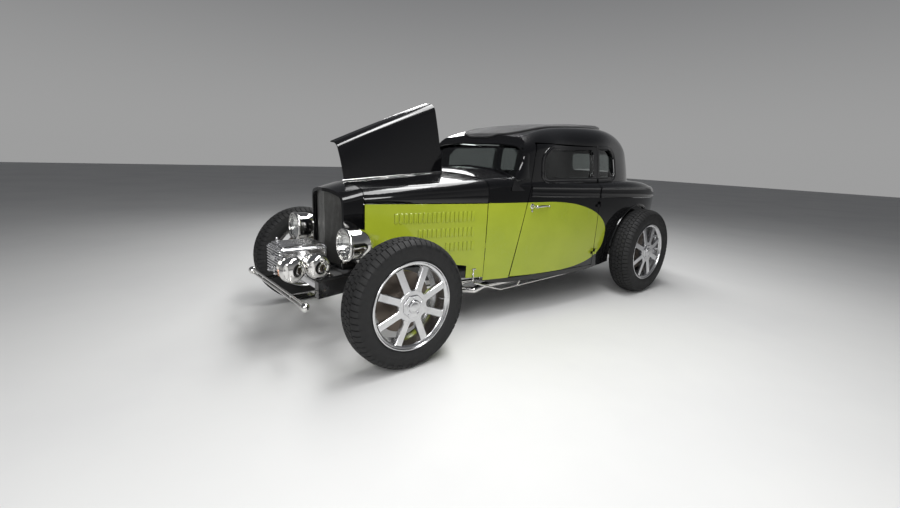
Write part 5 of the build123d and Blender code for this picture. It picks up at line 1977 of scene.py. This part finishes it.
def makeEnginePlumbing():
    # radiator hoses, plug leads from the distributor, header stubs with their flanges
    e = engineLook
    bm = bmesh.new()
    hoses = (
        [(0.090, -0.012, 0.905), (0.090, 0.030, 0.915), (0.080, 0.090, 0.900), (0.070, 0.128, 0.880)],
        [(-0.130, -0.012, 0.530), (-0.130, 0.030, 0.520), (-0.110, 0.070, 0.560), (-0.100, 0.118, 0.580)],
    )
    for hose in hoses:
        path = curveThrough([(x, atY(y), z) for x, y, z in hose], 8)
        tubeAlong(bm, path, 0.021, 16, material=1)
        for i in (2, len(path) - 3):
            tubeAlong(bm, [path[i], path[i].lerp(path[i + 1], 0.9)], 0.0235, 16)
    made = lathe(bm, [(0.0005, 0.085), (0.018, 0.082), (0.030, 0.070), (0.034, 0.050), (0.034, 0.034),
                      (0.022, 0.030), (0.020, -0.020)], 28, 1)
    moveFaces(bm, made, Matrix.Translation((0.0, atY(0.705), 0.898)))
    for side in (1, -1):
        for k in range(e["plugs"]):
            y = 0.215 + 0.143 * k
            start = (side * 0.020, atY(0.700) + 0.004 * k, 0.972)
            end = (side * 0.201, atY(y), 0.838)
            path = curveThrough([start, (side * (0.070 + 0.006 * k), atY(0.665 - 0.02 * k), 0.985),
                                 (side * 0.196, atY(y + 0.05), 0.935 - 0.004 * k),
                                 (side * 0.212, atY(y + 0.004), 0.872), end], 6)
            tubeAlong(bm, path, 0.0038, 8, material=1)
    makeObject("engine_hoses", fromBmesh("engine_hoses", bm), [brightPlate, darkPlasticAndPaintedShade], "root",
               (), 40.0)
    bm = bmesh.new()
    for side in (1, -1):
        for k in range(e["plugs"]):
            y = 0.215 + 0.143 * k
            boxOf(bm, sortedCorner((side * 0.1985, atY(y) - 0.032, 0.672)),
                  sortedCorner((side * 0.1985, atY(y) - 0.032, 0.672), (0.009, 0.064, 0.050)), 0.003)
            path = curveThrough([(side * 0.201, atY(y), 0.698), (side * 0.232, atY(y), 0.690),
                                 (side * 0.243, atY(0.5 * y + 0.26), 0.650),
                                 (side * 0.240, atY(0.520), 0.600)], 7)
            tubeAlong(bm, path, 0.0165, 14)
    makeObject("exhaust_headers", fromBmesh("exhaust_headers", bm), brightPlate, "root", (), 45.0)


def sortedCorner(corner, size=None):
    # low corner of a small block set against the engine's side, or its high corner when a size is given
    x, y, z = corner
    if size is None:
        return (min(x, x + math.copysign(0.009, x)), y, z)
    return (max(x, x + math.copysign(size[0], x)), y + size[1], z + size[2])


def makeEngineBlock():
    # the plain block's corners get the cast shapes: heads, pan and timing cover
    bm = bmesh.new()
    loops = []
    for y, shrink in ((0.110, 0.010), (0.118, 0.0), (0.752, 0.0), (0.760, 0.010)):
        s = shrink
        section = [(0.168 - s, 0.455 + s), (0.184 - s, 0.560), (0.198 - s, 0.640), (0.1995 - s, 0.800),
                   (0.150, 0.896 - s), (0.062, 0.864 - s),
                   (-0.062, 0.864 - s), (-0.150, 0.896 - s), (-0.1995 + s, 0.800), (-0.198 + s, 0.640),
                   (-0.184 + s, 0.560), (-0.168 + s, 0.455 + s)]
        loops.append([(x, atY(y), z) for x, z in section])
    loftLoops(bm, loops)
    boxOf(bm, (-0.055, atY(0.200), 0.862), (0.055, atY(0.660), 0.898), 0.008)
    for side in (1, -1):
        for k in range(5):
            y = 0.140 + 0.143 * k
            x0, x1 = sorted((side * 0.186, side * 0.204))
            boxOf(bm, (x0, atY(y) - 0.008, 0.600), (x1, atY(y) + 0.008, 0.800), 0.004)
    boxOf(bm, (-0.350, atY(0.380), 0.4753), (0.350, atY(0.420), 0.500), 0.004)
    made = lathe(bm, [(0.0005, 0.016), (0.070, 0.014), (0.088, 0.004), (0.092, -0.004)], 40)
    place = turnedAt((0.0, atY(0.110), 0.560), 90, "X")
    moveFaces(bm, made, place)
    makeObject("engine_casting", fromBmesh("engine_casting", bm), engineBlack, "root",
               ["engine"], 35.0)


print("engine")
makeEngineBlock()
makeValveCovers()
makeAirCleaner()
makePulleys()
makeEnginePlumbing()


# handles, tail lamps, plate bracket, exhaust tips, small fittings, sill tubes and kingpin caps

def makeHandles():
    for side in (1, -1):
        letter = sideLetter[side]
        panel = ["door_" + letter]
        bm = bmesh.new()
        root = skinPoint(panel, (side * 1.2, atY(1.296), 0.908), (-side, 0, 0), 0.0)
        # escutcheon, boss and a lever that thickens in the middle and ends in a ball
        place = Matrix.Translation(root) @ Matrix.Rotation(math.radians(side * 90), 4, "Y")
        made = lathe(bm, [(0.0005, -0.003), (0.0215, -0.003), (0.0215, 0.002), (0.019, 0.0045),
                          (0.013, 0.006), (0.0115, 0.012), (0.0105, 0.030),
                          (0.012, 0.040), (0.0125, 0.052), (0.009, 0.059), (0.0005, 0.061)], 36)
        moveFaces(bm, made, place)
        path = []
        sizes = []
        for i in range(25):
            t = i / 24
            y = atY(1.296) + 0.146 * t
            skin = skinPoint(panel, (side * 1.2, y, 0.908), (-side, 0, 0), 0.0)
            away = 0.046 - 0.016 * t * t
            path.append(Vector((skin.x + side * away, y, 0.908 + 0.004 * math.sin(math.pi * t))))
            sizes.append(0.0075 + 0.0028 * math.sin(math.pi * min(t * 1.15, 1.0)) - 0.0015 * t)
        tubeAlong(bm, path, sizes, 14, flat=1.35, up=(side, 0, 0))
        ballAt(bm, path[-1], 0.0088, 3)
        lock = Matrix.Translation(root
                                  + Vector((0, 0, -0.036))) @ Matrix.Rotation(math.radians(side * 90), 4,
                                      "Y")
        made = lathe(bm, [(0.0005, 0.004), (0.006, 0.004), (0.0095, 0.003), (0.0105, -0.003)], 24)
        moveFaces(bm, made, lock)
        name = "handle_lever_" + letter
        makeObject(name, fromBmesh(name, bm), brightPlate, "door_" + sideBody[side],
                   ["door_handle_" + letter], 40.0)


def makeTailLamps():
    bm = bmesh.new()
    for side in (1, -1):
        place = turnedAt((side * 0.300, atY(3.726), 0.700), -90, "X")
        profile = [(0.0005, 0.0)]
        for i in range(1, 10):
            t = i / 9
            out = 0.035 * t
            profile.append((out, -0.010 * t * t + (0.0007 if i % 2 else 0.0)))
        made = lathe(bm, profile, 56, 1)
        made += lathe(bm, [(0.0345, -0.012), (0.0355, -0.0075), (0.038, -0.0055), (0.0408, -0.0075),
                           (0.042, -0.012), (0.042, -0.022), (0.040, -0.026),
                           (0.038, -0.060)], 56, 0)
        moveFaces(bm, made, place)
    makeObject("tail_lamp_lenses", fromBmesh("tail_lamp_lenses", bm), [brightPlate, redLens], "root",
               ["tail_lamps"], 35.0)


def makePlateBracket():
    # stiffened edge, two screws, a small shaded lamp above
    bm = bmesh.new()
    y = atY(3.705)
    for low, high in (((-0.150, 0.610), (0.150, 0.614)), ((-0.150, 0.726), (0.150, 0.730)),
                      ((-0.150, 0.610), (-0.146, 0.730)), ((0.146, 0.610), (0.150, 0.730))):
        boxOf(bm, (low[0], y - 0.004, low[1]), (high[0], y + 0.004, high[1]), 0.001)
    for k in range(2):
        x = (-0.050, 0.050)[k]
        boxOf(bm, (x - 0.006, y - 0.001, 0.622), (x + 0.006, y + 0.002, 0.704), 0.001)
    made = lathe(bm, [(0.0005, 0.012), (0.014, 0.010), (0.019, 0.002), (0.020, -0.010), (0.016, -0.012)],
                 28, 1)
    place = turnedAt((0.0, y + 0.004, 0.744), -120, "X")
    moveFaces(bm, made, place)
    boxOf(bm, (-0.010, y - 0.003, 0.724), (0.010, y + 0.003, 0.742), 0.001, None, 1)
    makeObject("plate_trim", fromBmesh("plate_trim", bm), [chassisBlack, brightPlate], "root",
               (), 35.0)


def makeExhaustTips():
    bm = bmesh.new()
    for side in (1, -1):
        place = turnedAt((side * 0.470, atY(2.250), 0.275), -90, "X")
        made = lathe(bm, [(0.0262, -0.070), (0.0285, -0.066), (0.0285, -0.004), (0.0300, 0.003),
                          (0.0310, 0.006), (0.0300, 0.009), (0.0272, 0.008),
                          (0.0262, 0.003)], 40)
        # flat dark disc across the bore: painted shade inside the open pipe end
        made += lathe(bm, [(0.0262, 0.0035), (0.0005, 0.0035)], 40, 1)
        moveFaces(bm, made, place)
    makeObject("exhaust_tips", fromBmesh("exhaust_tips", bm), [brightPlate, darkPlasticAndPaintedShade], "root",
               (), 40.0)


def makeSmallFittings():
    # hood latches, frame fitting under the hood side's rear corner, bolts on the axle's eyes
    bm = bmesh.new()
    for side in (1, -1):
        boxOf(bm, (side * 0.300 - 0.014, atY(0.795), 0.398), (side * 0.300 + 0.014, atY(0.825), 0.420),
              0.003)
        for y in (-0.290, 0.970):
            made = bmesh.ops.create_cone(bm, segments=6, radius1=0.010, radius2=0.009, depth=0.010,
                                         cap_ends=True)
            x = side * (0.272 if y < 0 else 0.428)
            z = 0.398 if y < 0 else 0.312
            place = turnedAt((x + side * 0.020, atY(y), z), 90, "Y")
            bmesh.ops.transform(bm, matrix=place, verts=made["verts"])
    makeObject("frame_fittings", fromBmesh("frame_fittings", bm), brightPlate, "root", (), 35.0)


sillTube = {
    "r": 0.0070,
    "x": 0.575,
    # y back from the front axle and z: falls from behind the wheel, then runs under the sill
    "path": ((0.760, 0.352), (0.900, 0.304), (1.030, 0.262), (1.110, 0.256), (1.564, 0.262),
             (2.000, 0.270), (2.180, 0.285)),
    # foot on the tube, then its place on the sill
    "brackets": ((1.250, 0.257, 0.594, 0.304), (2.150, 0.282, 0.662, 0.330)),
    "latchY": 0.800,
}


def makeSillTubes():
    # thin bright tube under each sill, and the latch low on each hood side
    s = sillTube
    bm = bmesh.new()
    for side in (1, -1):
        corners = [(side * s["x"], atY(y), z) for y, z in s["path"]]
        tubeAlong(bm, curveThrough(corners, 12), s["r"], 10)
        for y, z, x, top in s["brackets"]:
            tubeAlong(bm, [Vector((side * s["x"], atY(y), z)), Vector((side * x, atY(y), top))], 0.005, 8)
        hookX = hoodSideX(s["latchY"], 0.40) + 0.007
        tubeAlong(bm, [Vector((side * hookX, atY(s["latchY"]), z)) for z in (0.342, 0.445)], 0.0042, 10)
        tubeAlong(bm, [Vector((side * hookX, atY(s["latchY"]) + k, 0.440)) for k in (-0.016, 0.022)],
                  0.0055, 10)
        for z in (0.352, 0.400):
            ballAt(bm, (side * (hookX - 0.002), atY(s["latchY"]), z), 0.0095, 2)
    makeObject("sill_tubes", fromBmesh("sill_tubes", bm), brightPlate, "root", (), 40.0)


def makeKnuckleCaps():
    for side, body in ((1, "knuckle_left"), (-1, "knuckle_right")):
        bm = bmesh.new()
        for z, way in ((0.400 + 0.0515, 1), (0.400 - 0.0515, -1)):
            made = lathe(bm, [(0.0005, 0.009), (0.008, 0.008), (0.013, 0.004), (0.014, 0.0),
                              (0.019, -0.0005), (0.019, -0.004)], 24)
            place = Matrix.Translation((side * 0.660, atY(0.0), z)) @ Matrix.Rotation(0.0 if way > 0
                else math.pi, 4, "X")
            moveFaces(bm, made, place)
        name = "kingpin_caps_" + ("l" if side > 0 else "r")
        makeObject(name, fromBmesh(name, bm), brightPlate, body, (), 40.0)


print("fittings")
makeHandles()
makeTailLamps()
makePlateBracket()
makeExhaustTips()
makeSmallFittings()
makeSillTubes()
makeKnuckleCaps()


# floor, light and camera

studio = {
    "floorSize": 60.0,
    "skyHigh": (0.10, 0.103, 0.110, 1.0),
    "skyLow": (0.34, 0.34, 0.34, 1.0),
    "skyStrength": 1.0,
}


def makeFloor():
    half = studio["floorSize"] / 2
    mesh = bpy.data.meshes.new("studioFloor")
    corners = [(-half, -half, 0), (half, -half, 0), (half, half, 0), (-half, half, 0)]
    mesh.from_pydata(corners, [], [(0, 1, 2, 3)])
    floor = bpy.data.objects.new("studioFloor", mesh)
    bpy.context.scene.collection.objects.link(floor)
    mesh.materials.append(floorPale)


def makeSky():
    world = bpy.data.worlds.new("studioSky")
    world.use_nodes = True
    tree = world.node_tree
    sky = tree.nodes["Background"]
    place = tree.nodes.new("ShaderNodeTexCoord")
    split = tree.nodes.new("ShaderNodeSeparateXYZ")
    wire(tree, place.outputs["Generated"], split.inputs[0])
    up = rampNode(tree, split.outputs["Z"], 0.02, 0.55)
    wire(tree, mixColour(tree, up, studio["skyLow"], studio["skyHigh"]), sky.inputs["Color"])
    sky.inputs["Strength"].default_value = studio["skyStrength"]
    bpy.context.scene.world = world


lamps = [
    # name, place, aim, width, length, watts
    ("overheadLeft", (1.9, -1.2, 4.2), (0.3, -0.2, 0.5), 0.9, 4.5, 135.0),
    ("overheadMiddle", (-0.4, 0.4, 4.6), (0.0, 0.2, 0.8), 1.2, 5.0, 150.0),
    ("frontSoft", (3.4, -4.6, 2.6), (0.2, -1.0, 0.6), 2.4, 2.0, 105.0),
    ("rearRight", (-4.2, 2.4, 3.0), (0.0, 0.6, 0.8), 2.2, 2.2, 95.0),
]


def makeLamps():
    for name, place, aim, width, length, watts in lamps:
        light = bpy.data.lights.new(name, "AREA")
        light.shape = "RECTANGLE"
        light.size = width
        light.size_y = length
        light.energy = watts
        holder = bpy.data.objects.new(name, light)
        holder.location = place
        way = Vector(aim) - Vector(place)
        holder.rotation_euler = way.to_track_quat("-Z", "Y").to_euler()
        bpy.context.scene.collection.objects.link(holder)


viewpoint = {
    "place": (2.917, atY(-1.450), 1.281),
    "yaw": 50.0,
    "pitch": -12.545,
    "roll": 2.288,
    "focalPixels": 446.88,
    "imageWidth": 900.0,
    "sensor": 36.0,
}


def makeCamera():
    v = viewpoint
    yaw, pitch, roll = (math.radians(v[k]) for k in ("yaw", "pitch", "roll"))
    forward = Vector((-math.sin(yaw) * math.cos(pitch), math.cos(yaw) * math.cos(pitch), math.sin(pitch)))
    right = Vector((math.cos(yaw), math.sin(yaw), 0.0))
    up = right.cross(forward)
    rolledRight = right * math.cos(roll) + up * math.sin(roll)
    rolledUp = up * math.cos(roll) - right * math.sin(roll)
    lens = bpy.data.cameras.new("photoCamera")
    lens.sensor_width = v["sensor"]
    lens.lens = v["focalPixels"] / v["imageWidth"] * v["sensor"]
    lens.clip_end = 200.0
    camera = bpy.data.objects.new("photoCamera", lens)
    turn = Matrix((rolledRight, rolledUp, -forward)).transposed()
    camera.matrix_world = Matrix.Translation(Vector(v["place"])) @ turn.to_4x4()
    bpy.context.scene.collection.objects.link(camera)
    bpy.context.scene.camera = camera


print("floor, light and camera")
makeFloor()
makeSky()
makeLamps()
makeCamera()
bpy.context.scene.view_settings.view_transform = "Standard"
